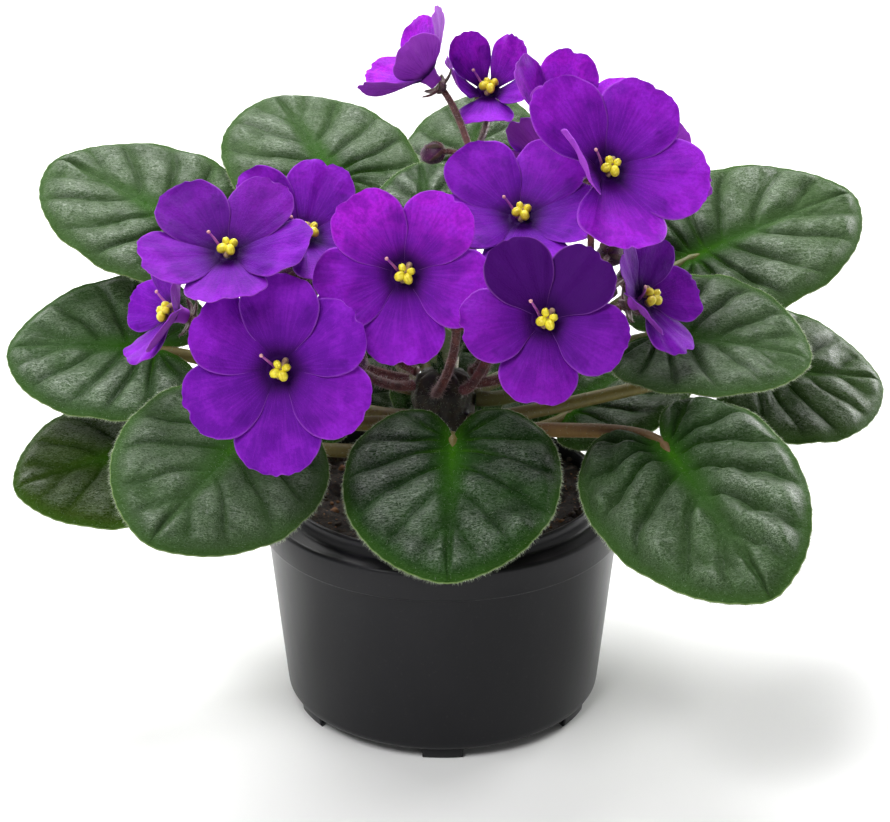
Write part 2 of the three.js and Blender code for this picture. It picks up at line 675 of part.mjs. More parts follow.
function flower(key, row) {
  const group = new THREE.Group();
  const [azimuth, pitch] = row.faces;
  group.position.set(...row.at);
  group.rotation.set((90 - pitch) * DEGREES, 0, (azimuth + 90) * DEGREES, 'ZXY');
  const petals = corolla(`corolla_${key}`, row);
  const centre = anthers(`anthers_${key}`);
  petals.rotation.z = row.spin * DEGREES;
  centre.rotation.z = row.spin * DEGREES;
  group.add(petals, centre);
  return group;
}

// The star of pointed sepals behind a flower, flat in its middle, where the corolla's tube stands.
function calyx(at, facing) {
  const turn = new THREE.Quaternion().setFromUnitVectors(vec(0, 0, 1), facing);
  const count = 2 * SEPAL_COUNT;
  const top = [];
  for (let i = 0; i < count; i += 1) {
    const angle = (i / SEPAL_COUNT) * Math.PI;
    const [radius, height] = i % 2 ? [TUBE_RADIUS, 0] : [SEPAL_LENGTH, SEPAL_RISE];
    top.push(vec(radius * Math.cos(angle), radius * Math.sin(angle), height));
  }
  top.push(vec(0, 0, 0));
  const below = count + 1;
  const faces = [];
  for (let i = 0; i < count; i += 1) {
    const next = (i + 1) % count;
    faces.push([count, i, next], [below + count, below + next, below + i]);
    faces.push([i, below + i, below + next], [i, below + next, next]);
  }
  const star = geometryFrom([...top, ...top.map((p) => vec(p.x, p.y, p.z - SEPAL_THICKNESS))], faces);
  return star.applyQuaternion(turn).translate(at.x, at.y, at.z);
}

function bud([x, y, z, length], fork) {
  const body = new THREE.IcosahedronGeometry(length / 2, 0);
  body.scale(BUD_WIDTH, BUD_WIDTH, 1);
  body.translate(x, y, z);
  const [share, rise] = BUD_BEND;
  const bend = fork.clone().lerp(vec(x, y, z), share);
  bend.z = Math.max(fork.z, z) + length * rise;
  const route = new THREE.QuadraticBezierCurve3(fork, bend, vec(x, y, z));
  const radius = PEDICEL_RADII[1];
  return [body, tube(route, [radius, radius], PEDICEL_STEPS, PEDICEL_SIDES)];
}

function stalk(name, { root, fork, lean = [0, 0], flowers, buds }) {
  const end = vec(...fork);
  const outward = direction(root, 0);
  const foot = vec(...CROWN_AT, STALK_HEIGHT).addScaledVector(outward, CROWN_RADIUS + CLEAR);
  const elbow = foot.clone().addScaledVector(outward, PEDUNCLE_ELBOW);
  const under = end.clone().add(vec(...lean, (foot.z - end.z) * PEDUNCLE_BEND));
  const route = new THREE.CubicBezierCurve3(foot, elbow, under, end);
  const pieces = [tube(route, PEDUNCLE_RADII, PEDUNCLE_STEPS, PEDUNCLE_SIDES)];
  for (const key of flowers) {
    const { at, faces } = FLOWERS[key];
    const facing = direction(...faces);
    const back = vec(...at).addScaledVector(facing, -TUBE_DEPTH - CLEAR);
    const behind = back.clone().addScaledVector(facing, -SEPAL_THICKNESS / 2);
    const bend = behind.clone().addScaledVector(facing, -behind.distanceTo(end) * PEDICEL_BEND);
    const pedicel = new THREE.QuadraticBezierCurve3(end, bend, behind);
    pieces.push(tube(pedicel, PEDICEL_RADII, PEDICEL_STEPS, PEDICEL_SIDES), calyx(back, facing));
  }
  for (const row of buds) pieces.push(...bud(row, end));
  return meshOf(name, geometryOf(union(pieces)), 'stalk');
}

function potted() {
  const group = new THREE.Group();
  group.add(pot(), soil(), crown());
  for (const [name, row] of Object.entries(LEAVES)) group.add(leaf(name, row));
  for (const [name, row] of Object.entries(STALKS)) group.add(stalk(name, row));
  for (const [key, row] of Object.entries(FLOWERS)) group.add(flower(key, row));
  return group;
}

export default potted();
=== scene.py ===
# A potted African violet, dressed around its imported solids: finer leaves with hairs, layered
# petals, anthers, hairy stalks, peat and a smooth pot, in a pale studio.
# The tables repeat the solids' own sizes in millimetres. Meshes are built in millimetres and
# stored in metres. Azimuths turn from +X towards +Y, and the camera looks along +Y.

import math

import bpy
import numpy as np
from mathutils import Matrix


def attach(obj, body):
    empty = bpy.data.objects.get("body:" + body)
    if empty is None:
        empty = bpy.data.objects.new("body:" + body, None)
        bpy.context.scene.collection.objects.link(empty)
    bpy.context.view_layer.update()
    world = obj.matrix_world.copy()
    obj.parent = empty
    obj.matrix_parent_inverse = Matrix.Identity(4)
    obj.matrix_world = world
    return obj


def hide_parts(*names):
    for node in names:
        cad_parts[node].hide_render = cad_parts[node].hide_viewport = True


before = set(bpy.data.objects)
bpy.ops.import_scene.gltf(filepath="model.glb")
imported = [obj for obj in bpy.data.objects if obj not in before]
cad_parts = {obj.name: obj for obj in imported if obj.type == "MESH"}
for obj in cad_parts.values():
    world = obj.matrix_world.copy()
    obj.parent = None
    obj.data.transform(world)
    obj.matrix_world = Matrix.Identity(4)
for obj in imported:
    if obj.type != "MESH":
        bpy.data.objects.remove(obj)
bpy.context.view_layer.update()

MM = 0.001
random = np.random.default_rng(20)
NO_MARK = (0, 0, 0, 0)

# Sizes shared with the solids

CLEAR = 0.3                # gap between neighbouring pieces that touch
CROWN_AT = (0, 3)          # the plant's stem in plan
CROWN_RADIUS = 10          # how far from its axis the leaf and flower stalks begin
CROWN_BOTTOM = 58
CROWN_TOP = 106
NECK_RADIUS = 6            # the bare stem under the leaves
NECK_TOP = 69
LEAVES_BOTTOM = 76
STALK_HEIGHT = 103

PETIOLE_ROOT_RADIUS = 2.4
PETIOLE_TOP_RADIUS = 1.9
LEAF_THICKNESS = 1.1
WAVE_HEIGHT = 0.012        # wave of a blade's rim, as a share of its length
WAVE_TURN = 19             # radians of that wave from the notch to the tip

HINGE_RADIUS = 2.6         # where a petal leaves the throat
TUBE_DEPTH = 4.6           # how far the corolla's tube reaches behind its face
EDGE_LIFT = 0.95           # how far a petal's edge stands over or under its neighbour's
SEPAL_LENGTH = 6.5

SOIL_TOP = 67.6
SOIL_BOTTOM = 5.3
SOIL_RADIUS = 47.4
SOIL_HOLE = (6.3, 57.7)    # radius and bottom of the stem's hole
CROWN_CLEAR = 9            # no crumbs nearer to the stem than this
SOIL_WALLS = [(SOIL_RADIUS, 63.5), (52.0, 55.7), (46.8, SOIL_BOTTOM)]

FOOT_COUNT = 6
FOOT_GAP = 36              # width of the slots that cut the foot ring
FOOT_SECTION = [(42, 3.2), (42, 0.4), (42.4, 0), (46.6, 0), (47, 0.4), (47.3, 3.2)]
FOOT_LID = 3.3
PAD_PROFILE = [(0, 0), (8.6, 0), (9, 0.4), (9.2, 3.2), (0, FOOT_LID)]
DRAIN_RADIUS = 3.5
DRAIN_CIRCLE = 32

# Fineness of the dressing: rows and columns of grids, sides of round forms, and hairs

BLADE_GRID = (92, 21)
YOUNG_GRID = (30, 8)
PETAL_GRID = (30, 10)
PETIOLE_SIDES = 12
PETIOLE_STATIONS = 26      # points that steer a leaf's stalk, before those of the rib
RIB_STATIONS = 14
PETIOLE_RINGS = 60         # of a leaf's stalk and its rib
HAIRY_RINGS = 44           # those of the stalk, because the rib has no hairs
CROWN_SIDES = 64
CROWN_RINGS = 72
CROWN_HAIRY_RINGS = (24, 68)
SOIL_SEGMENTS = 170
CRUMBS = 260
POT_SEGMENTS = 144
HAIR_WIDTH = 0.05
HAIR_SUNK = 0.12           # how deep hairs stand in what carries them
HAIR_LEAN = 0.45           # how far hairs on round stems lean at random

# Tables. A blade's or petal's outline is a list of shares of its length and of its half width.
BLADE_OUTLINE = [
    (-0.13, 0.07), (-0.25, 0.25), (-0.26, 0.5), (-0.14, 0.8), (0.06, 0.97), (0.28, 1.0),
    (0.55, 0.9), (0.78, 0.65), (0.93, 0.34),
]

# How far up the midrib the line to each point of the outline starts.
VEIN_ROOTS = [0, 0, 0, 0, 0.03, 0.1, 0.21, 0.37, 0.58]

# Each side vein: where it ends, counted in points of the outline, and its depth.
VEINS = [(1.2, 0.6), (3.1, 0.9), (4.7, 1.0), (5.9, 1.0), (7.0, 0.9), (8.1, 0.8), (9.1, 0.6)]

YOUNG_OUTLINE = [(-0.1, 0.3), (0.1, 0.95), (0.5, 1), (0.85, 0.5)]
YOUNG_ROOTS = [0, 0.05, 0.35, 0.7]
YOUNG_VEINS = [(1.5, 1), (3.2, 1)]
YOUNG_SHAPE = (1, 2)       # arch and cup

# Each young leaf: its turn round the stem; distance and height of its root and of its notch; its
# pitch; length and width.
YOUNG_LEAVES = [
    (20, (2, 105), (3.6, 111), 74, (13, 11)),
    (140, (2, 105), (3.6, 111), 74, (14, 11)),
    (260, (2, 105), (3.6, 111), 74, (15, 11)),
    (118, (7, 84), (20, 85), 50, (13, 12)),
    (65, (7, 81), (24, 80.5), 45, (18, 15)),
]

# Each leaf: place of its notch; heading, pitch, roll; length, width; arch, cup; root azimuth and
# height on the crown; and its looks: silvery grey, olive, depth of the quilting.
LEAVES = {
    "front": ((3, -28, 97), (-92, -18, 2), (56, 63), (3, -2.5), (-92, 88), (0.15, 0, 0.8)),
    "front_left": ((-57, -27, 99), (-116, -13, -23), (55, 60), (1, -2), (-150, 92), (0.75, 0, 0.8)),
    "front_right": ((63, -44, 102), (-72, -8, 20), (68, 59), (8, -3), (-38, 92), (0.6, 0.05, 2.2)),
    "left": ((-88, 20, 107), (178, 4, -25), (48, 62), (5, 1), (172, 90), (0.65, 0, 1.0)),
    "low_left": ((-88, 8, 79), (-158, -4, -18), (46, 60), (4, -1), (-172, 80), (0.1, 0.9, 0.6)),
    "right": ((65, 3, 118), (-17, 2, 16), (46, 61), (5, 3), (-5, 97), (0.9, 0, 1.1)),
    "low_right": ((98, 40, 92), (15, -6, 30), (50, 58), (5, 0), (18, 88), (0.8, 0.35, 0.9)),
    "back_right": ((78, 40, 130), (24, 17, 22), (62, 66), (5, 0), (38, 97), (1.0, 0.1, 1.3)),
    "back_left": ((-80, 47, 137), (148, 20, -17), (58, 62), (6, 0), (150, 98), (0.9, 0.1, 1.1)),
    "back": ((-34, 62, 148), (115, 20, -6), (59, 62), (5, 0), (125, 98), (0.9, 0.1, 1.1)),
    "rear": ((8, 72, 147), (80, 20, 4), (55, 50), (4, -4), (84, 92), (0.8, 0.1, 1.0)),
    "inner": ((-4, 21, 144), (96, 24, -10), (38, 38), (3, -1), (92, 98), (0.5, 0, 0.9)),
    "low_rear_left": ((-34, 38, 80), (130, 14, 0), (56, 58), (5, -1), (126, 78), (0.3, 0.3, 1.0)),
    "low_rear": ((-6, 58, 90), (96, 10, 0), (58, 60), (5, -1), (96, 80), (0.3, 0.2, 1.0)),
    "low_rear_right": ((40, 34, 80), (48, 14, 0), (56, 58), (5, -1), (38, 78), (0.2, 0.3, 1.0)),
}

# How reddish brown the leaf stalks are.
REDNESS = {"front_right": 0.75, "right": 0.1, "back_right": 0.15}
COMMON_REDNESS = 0.45

# Petals from the top one round: turn, length, width, and how the further and nearer edges overlap.
PETALS = [
    (36, 26.5, 22, (1, 1)), (106, 26, 24, (1, -1)), (180, 27, 24, (-1, -1)),
    (-106, 26, 24, (-1, 1)), (-36, 26, 22, (-1, 1)),
]
SIX_PETALS = [
    (0, 25, 21, (1, 1)), (58, 26, 21, (1, -1)), (118, 27, 22, (1, -1)), (180, 28, 23, (-1, -1)),
    (-118, 26, 22, (-1, 1)), (-58, 25, 21, (-1, 1)),
]
UPPER_TURN = 50            # petals turned less than this are upper ones
LOWER_SHADE_SHARE = 0.35         # the others' share of the upper petals' painted shade
HUE_SPREAD = 0.12          # how much one flower's petals differ in magenta
BOW = 0.06                 # how far petals with little cup bow forward
PETAL_OUTLINE = [(0, 0.2), (0.13, 0.42), (0.34, 0.82), (0.66, 1.0), (0.91, 0.68)]

# Each flower: place; azimuth and pitch that it faces; spin; size; cup of each petal; how magenta
# its upper petals and the others are, and how much painted shade darkens its upper petals.
FLOWERS = {
    "front_left": ((-45, -53, 128), (-92, 26), 0, 1.06, (8, 8, 8, 8, 8, 8), (0.05, 0.0, 0.2)),
    "upper_left": ((-60, -35, 156), (-97, 61), 10, 0.99, (16, 20, 20, 20, 16), (0.25, 0.1, 0.5)),
    "behind_left": ((-41, 6, 148), (-60, 55), 0, 0.98, (20, 55, 25, 20, 20), (0.3, 0.15, 0.1)),
    "far_left": ((-79, -12, 130), (-160, 25), 0, 0.74, (30, 30, 30, 30, 30), (0.15, 0.1, 0)),
    "centre": ((-11, -33, 149), (-90, 30), 0, 1.0, (10, 10, 10, 10, 10), (0.7, 0.3, 0)),
    "upper": ((23, 0, 155.5), (-95, 59), 8, 1.08, (16, 20, 20, 20, 16), (0.2, 0.1, 0.15)),
    "front_right": ((28, -54, 143), (-88, 34), -8, 0.92, (14, 10, 8, 10, 14), (0.1, 0.2, 0.95)),
    "high_right": ((46, -24, 177), (-70, 40), -6, 1.12, (12, 58, 22, 15, 12), (0.35, 0.3, 0)),
    "far_right": ((58, -20, 137), (-35, 30), 0, 0.76, (25, 40, 25, 25, 25), (0.2, 0.1, 0.45)),
    "top": ((14, 46, 181.5), (-95, 60), 0, 0.76, (48, 58, 20, 35, 48), (0.7, 0.3, 0.1)),
    "top_left": ((-5, 32, 190.5), (176, 45), 36, 0.82, (42, 42, 42, 42, 42), (0.9, 0.8, 0)),
    "top_right": ((36, 22, 178), (-50, 62), 0, 0.92, (38, 60, 45, 45, 38), (0.8, 0.7, 0)),
    "rear_right": ((62, 22, 164), (40, 25), 0, 0.8, (20, 20, 20, 20, 20), (0.3, 0.2, 0)),
    "rear": ((36, 46, 156), (80, 35), 0, 0.84, (20, 20, 20, 20, 20), (0.3, 0.2, 0)),
}

# Each stalk: root azimuth, fork, lean, the flowers that it carries, and its buds' places and
# lengths.
STALKS = {
    "front_left": (-150, (-28, -26, 126), (0, 0), ("front_left",), ((-24, -36, 124, 7),)),
    "left": (-180, (-48, -8, 134), (0, 0), ("upper_left", "far_left"), ()),
    "rear_left": (140, (-30, 12, 134), (0, 0), ("behind_left",),
                  ((-40, -2, 133, 7), (-42, 15, 131, 9), (-48, 9, 134, 8))),
    "front": (-100, (4, -24, 130), (0, 0), ("centre", "front_right"), ((12, -28, 126, 7),)),
    "upper": (-55, (20, 2, 140), (0, 0), ("upper",), ((8, -4, 150, 9),)),
    "right": (-14, (43, -22, 134), (0, 0), ("far_right", "high_right"),
              ((38, -24, 146, 8), (50, 6, 142, 10), (56, 8, 134, 9), (49, 2, 132, 8))),
    "rear": (35, (26, 24, 152), (0, 0), ("top_right", "rear_right", "rear"), ()),
    "top": (10, (9, 18, 168), (8, -12), ("top", "top_left"), ((-3, 24, 168, 8),)),
}

# Vectors and curves


def direction(azimuth, pitch=0.0):
    """Unit vector for an azimuth and a pitch in degrees."""
    turn, rise = math.radians(azimuth), math.radians(pitch)
    level = math.cos(rise)
    return np.array([level * math.cos(turn), level * math.sin(turn), math.sin(rise)])


def turned(axis, degrees):
    """Rotation matrix about the x, y or z axis."""
    c, s = math.cos(math.radians(degrees)), math.sin(math.radians(degrees))
    i, j = {"x": (1, 2), "y": (2, 0), "z": (0, 1)}[axis]
    matrix = np.eye(3)
    matrix[i, i] = matrix[j, j] = c
    matrix[i, j], matrix[j, i] = -s, s
    return matrix


def unit(vectors):
    return vectors / np.maximum(np.linalg.norm(vectors, axis=-1, keepdims=True), 1e-9)


def polar(radius, turn, height):
    """Points at a distance from the z axis, turned round it in radians, at a height."""
    return np.stack([radius * np.cos(turn), radius * np.sin(turn), height + 0 * turn], -1)


def placed(points, at, matrix):
    """The points turned by the matrix and moved to a place."""
    return points @ matrix.T + np.asarray(at, float)


def step(low, high, value):
    """0 at low, 1 at high, smooth between."""
    x = np.clip((value - low) / (high - low), 0, 1)
    return x * x * (3 - 2 * x)


def noise(points, size, seed):
    """Smooth value noise from -1 to 1, with features of about the given size."""
    p = np.asarray(points, float) / size
    cell = np.floor(p).astype(np.int64)
    part = p - cell
    part = part * part * (3 - 2 * part)
    total = np.zeros(p.shape[:-1])
    for corner in np.ndindex(2, 2, 2):
        x, y, z = np.moveaxis(cell + np.array(corner), -1, 0)
        h = (x * 374761393 + y * 668265263 + z * 974634777 + seed * 1274126177) & 0xFFFFFFFF
        h = ((h ^ (h >> 13)) * 1274126177) & 0xFFFFFFFF
        value = ((h ^ (h >> 16)) & 0xFFFF) / 32767.5 - 1
        total += value * np.prod(np.where(corner, part, 1 - part), axis=-1)
    return total


def smooth_through(points, count, after=0):
    """Evenly spaced points on a smooth curve through the given ones, and their place among them.
    The last few may only steer the curve's end."""
    points = np.asarray(points, float)
    knots = np.concatenate([[0], np.cumsum(np.linalg.norm(np.diff(points, axis=0), axis=1))])
    slopes = np.gradient(points, knots, axis=0)

    def curve(at):
        i = np.clip(np.searchsorted(knots, at, side="right") - 1, 0, len(knots) - 2)
        span = (knots[i + 1] - knots[i])[:, None]
        x = (at - knots[i])[:, None] / span
        return (
            (1 + 2 * x) * (1 - x) ** 2 * points[i]
            + x * (1 - x) ** 2 * span * slopes[i]
            + x * x * (3 - 2 * x) * points[i + 1]
            - x * x * (1 - x) * span * slopes[i + 1]
        )

    fine = np.linspace(0, knots[len(points) - 1 - after], 8 * count)
    line = curve(fine)
    length = np.concatenate([[0], np.cumsum(np.linalg.norm(np.diff(line, axis=0), axis=1))])
    at = np.interp(np.linspace(0, length[-1], count), length, fine)
    return curve(at), np.interp(at, knots, np.arange(len(knots)))


def bezier(controls, count):
    """Points on a quadratic or cubic Bezier curve."""
    controls = np.asarray(controls, float)
    order = len(controls) - 1
    t = np.linspace(0, 1, count)[:, None]
    return sum(
        math.comb(order, i) * t**i * (1 - t) ** (order - i) * controls[i] for i in range(order + 1)
    )


# Meshes


class Piece:
    """Collects closed forms for one object: points, faces, the number of each face's material, and
    two lists of four numbers a point, which the materials read as mark and tone."""

    def __init__(self):
        self.points, self.marks, self.tones = [], [], []
        self.faces, self.kinds = [], []
        self.count = 0

    def add(self, points, faces, kind, mark=NO_MARK, tone=NO_MARK):
        points = np.asarray(points, float).reshape(-1, 3)
        number = len(points)
        self.points.append(points)
        self.marks.append(np.broadcast_to(np.asarray(mark, float), (number, 4)))
        self.tones.append(np.broadcast_to(np.asarray(tone, float), (number, 4)))
        for group in faces:
            self.faces.append(np.asarray(group) + self.count)
            self.kinds.append(np.full(len(group), kind))
        self.count += number

    def put(self, form, at, matrix, kind, mark=NO_MARK, tone=NO_MARK):
        """Adds a form's points and faces, turned by the matrix and moved to a place."""
        self.add(placed(form[0], at, matrix), form[1], kind, mark, tone)

    def build(self, name, materials, node):
        points = np.vstack(self.points) * MM
        faces = [face for group in self.faces for face in group.tolist()]
        kinds = np.concatenate(self.kinds)
        used = np.unique(np.concatenate([group.ravel() for group in self.faces]))
        place = np.zeros(len(points), int)
        place[used] = np.arange(len(used))
        mesh = bpy.data.meshes.new(name)
        mesh.from_pydata(points[used].tolist(), [], [[place[i] for i in face] for face in faces])
        for material in materials:
            mesh.materials.append(material)
        mesh.polygons.foreach_set("material_index", kinds.astype(np.int32))
        mesh.polygons.foreach_set("use_smooth", np.ones(len(faces), bool))
        for label, rows in (("mark", self.marks), ("tone", self.tones)):
            layer = mesh.attributes.new(label, "FLOAT_COLOR", "POINT")
            layer.data.foreach_set("color", np.vstack(rows)[used].astype(np.float32).ravel())
        mesh.validate()
        mesh.update()
        piece = bpy.data.objects.new(name, mesh)
        bpy.context.scene.collection.objects.link(piece)
        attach(piece, "root")
        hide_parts(node)
        return piece


def split(quads):
    """Quads with two like corners become triangles, and narrower ones are dropped."""
    same = quads == np.roll(quads, -1, axis=1)
    twins = same.sum(1)
    return [quads[twins == 0], quads[twins == 1][~same[twins == 1]].reshape(-1, 3)]


def volume(points, groups):
    total = 0.0
    for group in groups:
        for i in range(1, group.shape[1] - 1):
            a, b, c = points[group[:, 0]], points[group[:, i]], points[group[:, i + 1]]
            total += np.einsum("ij,ij->i", a, np.cross(b, c)).sum()
    return total


def outward(points, groups):
    """The same faces, wound so that they face out."""
    if volume(points, groups) < 0:
        return [group[:, ::-1] for group in groups]
    return groups


def ringed(points, sides):
    """Faces round rings of points, with the last two points in the middle of the two end rings."""
    first, last = len(points) - 2, len(points) - 1
    index = np.arange(first).reshape(-1, sides)
    wrap = np.roll(index, -1, axis=1)
    body = np.stack([index[:-1], wrap[:-1], wrap[1:], index[1:]], -1).reshape(-1, 4)
    caps = np.concatenate([
        np.stack([np.full(sides, first), wrap[0], index[0]], -1),
        np.stack([np.full(sides, last), index[-1], wrap[-1]], -1),
    ])
    return outward(points, [body, caps])


def sheet(top, bottom, pinch_first=False, pinch_last=True):
    """A closed sheet between two grids of points, whose first or last row may be a single point."""
    rows, columns = top.shape[:2]
    index = np.arange(rows * columns).reshape(rows, columns)
    if pinch_first:
        index[0] = index[0, 0]
    if pinch_last:
        index[-1] = index[-1, 0]
    under = index + rows * columns

    def quads(a, b, c, d):
        return np.stack([a, b, c, d], -1).reshape(-1, 4)

    groups = [
        quads(index[:-1, :-1], index[:-1, 1:], index[1:, 1:], index[1:, :-1]),
        quads(under[:-1, :-1], under[1:, :-1], under[1:, 1:], under[:-1, 1:]),
        quads(index[:-1, 0], index[1:, 0], under[1:, 0], under[:-1, 0]),
        quads(index[1:, -1], index[:-1, -1], under[:-1, -1], under[1:, -1]),
        quads(index[0, 1:], index[0, :-1], under[0, :-1], under[0, 1:]),
        quads(index[-1, :-1], index[-1, 1:], under[-1, 1:], under[-1, :-1]),
    ]
    points = np.concatenate([top.reshape(-1, 3), bottom.reshape(-1, 3)])
    return points, outward(points, [g for g in split(np.concatenate(groups)) if len(g)])


def tube(path, radii, sides):
    """A closed tube along a path. Returns its points, faces, and each point's outward direction."""
    path = np.asarray(path, float)
    along = unit(np.gradient(path, axis=0))
    normal = unit(np.cross(along[0], (0.31, 0.17, 0.93)))
    rings, ways = [], []
    angles = np.linspace(0, 2 * np.pi, sides, endpoint=False)
    for place, way, radius in zip(path, along, np.broadcast_to(radii, len(path))):
        normal = unit(normal - way * np.dot(normal, way))
        other = np.cross(way, normal)
        spokes = np.outer(np.cos(angles), normal) + np.outer(np.sin(angles), other)
        rings.append(place + spokes * radius)
        ways.append(spokes)
    points = np.concatenate([*rings, path[[0, -1]]])
    return points, ringed(points, sides), np.concatenate([*ways, [-along[0], along[-1]]])


def ball(centre, radii, rows=8, sides=12):
    """A closed ellipsoid. Returns its points, faces and outward directions."""
    rise = np.linspace(-np.pi / 2, np.pi / 2, rows + 1)[1:-1, None]
    turn = np.linspace(0, 2 * np.pi, sides, endpoint=False)[None]
    ring = polar(np.cos(rise), turn, np.sin(rise)).reshape(-1, 3)
    ways = np.concatenate([ring, [(0, 0, -1), (0, 0, 1)]])
    points = np.asarray(centre, float) + ways * np.asarray(radii, float)
    return points, ringed(points, sides), ways


def lathe(profile, sides):
    """A closed turned form about the z axis, from a profile that begins and ends on the axis."""
    profile = np.asarray(profile, float)
    angles = np.linspace(0, 2 * np.pi, sides, endpoint=False)
    points = polar(profile[1:-1, :1], angles, profile[1:-1, 1:]).reshape(-1, 3)
    points = np.concatenate([points, [(0, 0, profile[0][1])], [(0, 0, profile[-1][1])]])
    return points, ringed(points, sides)


def hairs(roots, ways, lengths):
    """Fine closed spikes that stand on the given roots."""
    count = len(roots)
    ways = unit(ways)
    side = unit(np.cross(ways, unit(random.normal(size=(count, 3)))))
    other = np.cross(ways, side)
    roots = roots - ways * HAIR_SUNK
    corners = []
    for turn in (0, 2 * np.pi / 3, 4 * np.pi / 3):
        corners.append(roots + HAIR_WIDTH * (np.cos(turn) * side + np.sin(turn) * other))
    corners.append(roots + ways * np.asarray(lengths)[:, None])
    points = np.stack(corners, 1).reshape(-1, 3)
    faces = np.array([(0, 1, 3), (1, 2, 3), (2, 0, 3), (0, 2, 1)])
    return points, [(np.arange(count)[:, None, None] * 4 + faces).reshape(-1, 3)]


def scattered(ways, spread):
    """Directions that lean at random away from the given ones."""
    return unit(ways + spread * random.normal(size=ways.shape))


def tube_hairs(points, ways, count, low, high):
    """Hairs all over a tube or ball, from low to high in length."""
    pick = random.integers(0, len(ways), count)
    jitter = random.normal(size=(count, 3)) * 0.25
    jitter -= ways[pick] * np.einsum("ij,ij->i", jitter, ways[pick])[:, None]
    ways = scattered(ways[pick], HAIR_LEAN)
    return hairs(points[pick] + jitter, ways, random.uniform(low, high, count))


# Materials


class Look:
    """A material's node tree, with short ways to add the nodes that it uses."""

    def __init__(self, name, roughness=0.5, **sockets):
        self.material = bpy.data.materials.new(name)
        self.material.use_nodes = True
        self.tree = self.material.node_tree
        self.shader = self.tree.nodes["Principled BSDF"]
        self.shader.inputs["Roughness"].default_value = roughness
        for socket, value in sockets.items():
            self.shader.inputs[socket.replace("_", " ")].default_value = value

    def set(self, socket, value):
        if isinstance(value, bpy.types.NodeSocket):
            self.tree.links.new(value, socket)
        elif isinstance(value, tuple) and len(value) == 3 and socket.type == "RGBA":
            socket.default_value = (*value, 1)
        else:
            socket.default_value = value

    def node(self, kind, values=(), **settings):
        node = self.tree.nodes.new(kind)
        for key, value in settings.items():
            setattr(node, key, value)
        for key, value in dict(values).items():
            self.set(node.inputs[key], value)
        return node

    def mark(self, layer="mark"):
        """The four numbers that the mesh stores under this name."""
        stored = self.node("ShaderNodeAttribute", attribute_name=layer)
        parts = self.node("ShaderNodeSeparateColor", {0: stored.outputs["Color"]})
        return [*(parts.outputs[i] for i in range(3)), stored.outputs["Alpha"]]

    def noise(self, size, detail=2.0, stretch=(1, 1, 1), rough=0.5, twist=0.0):
        """Noise whose features are about this many millimetres; twist bends them into swirls."""
        place = self.node("ShaderNodeTexCoord").outputs["Object"]
        place = self.node("ShaderNodeMapping", {0: place, 3: stretch}).outputs[0]
        values = {"Vector": place, "Scale": 1 / (size * MM), "Detail": detail, "Roughness": rough}
        values["Distortion"] = twist
        return self.node("ShaderNodeTexNoise", values).outputs[0]

    def streaks(self, x, y, z, detail=2.0):
        """Noise over three numbers that the mesh stores, one feature to a unit."""
        place = self.node("ShaderNodeCombineXYZ", {0: x, 1: y, 2: z}).outputs[0]
        values = {"Vector": place, "Scale": 1.0, "Detail": detail}
        return self.node("ShaderNodeTexNoise", values).outputs[0]

    def between(self, low, high, value):
        """0 below low, 1 above high, smooth between."""
        values = {0: value, 1: low, 2: high, 3: 0.0, 4: 1.0}
        return self.node("ShaderNodeMapRange", values, interpolation_type="SMOOTHSTEP").outputs[0]

    def calc(self, operation, a, b=0.0, clamp=False):
        settings = {"operation": operation, "use_clamp": clamp}
        return self.node("ShaderNodeMath", {0: a, 1: b}, **settings).outputs[0]

    def times(self, a, b):
        return self.calc("MULTIPLY", a, b)

    def line(self, value, start, slope):
        """start, and slope for each unit of the value."""
        return self.calc("ADD", start, self.times(value, slope))

    def mix(self, a, b, share):
        return self.node("ShaderNodeMix", {0: share, 6: a, 7: b}, data_type="RGBA").outputs[2]

    def layers(self, colour, rows):
        """The colour with tints over it. Each row: tint, where it lies, and how strong it is."""
        for tint, share, strength in rows:
            colour = self.mix(colour, tint, self.times(share, strength))
        return colour

    def bump(self, height, distance, strength=1.0, under=None):
        values = {"Height": height, "Distance": distance * MM, "Strength": strength}
        if under is not None:
            values["Normal"] = under
        return self.node("ShaderNodeBump", values).outputs[0]

    def finish(self, colour, roughness=None, normal=None):
        self.set(self.shader.inputs["Base Color"], colour)
        if roughness is not None:
            self.set(self.shader.inputs["Roughness"], roughness)
        if normal is not None:
            self.set(self.shader.inputs["Normal"], normal)
        return self.material


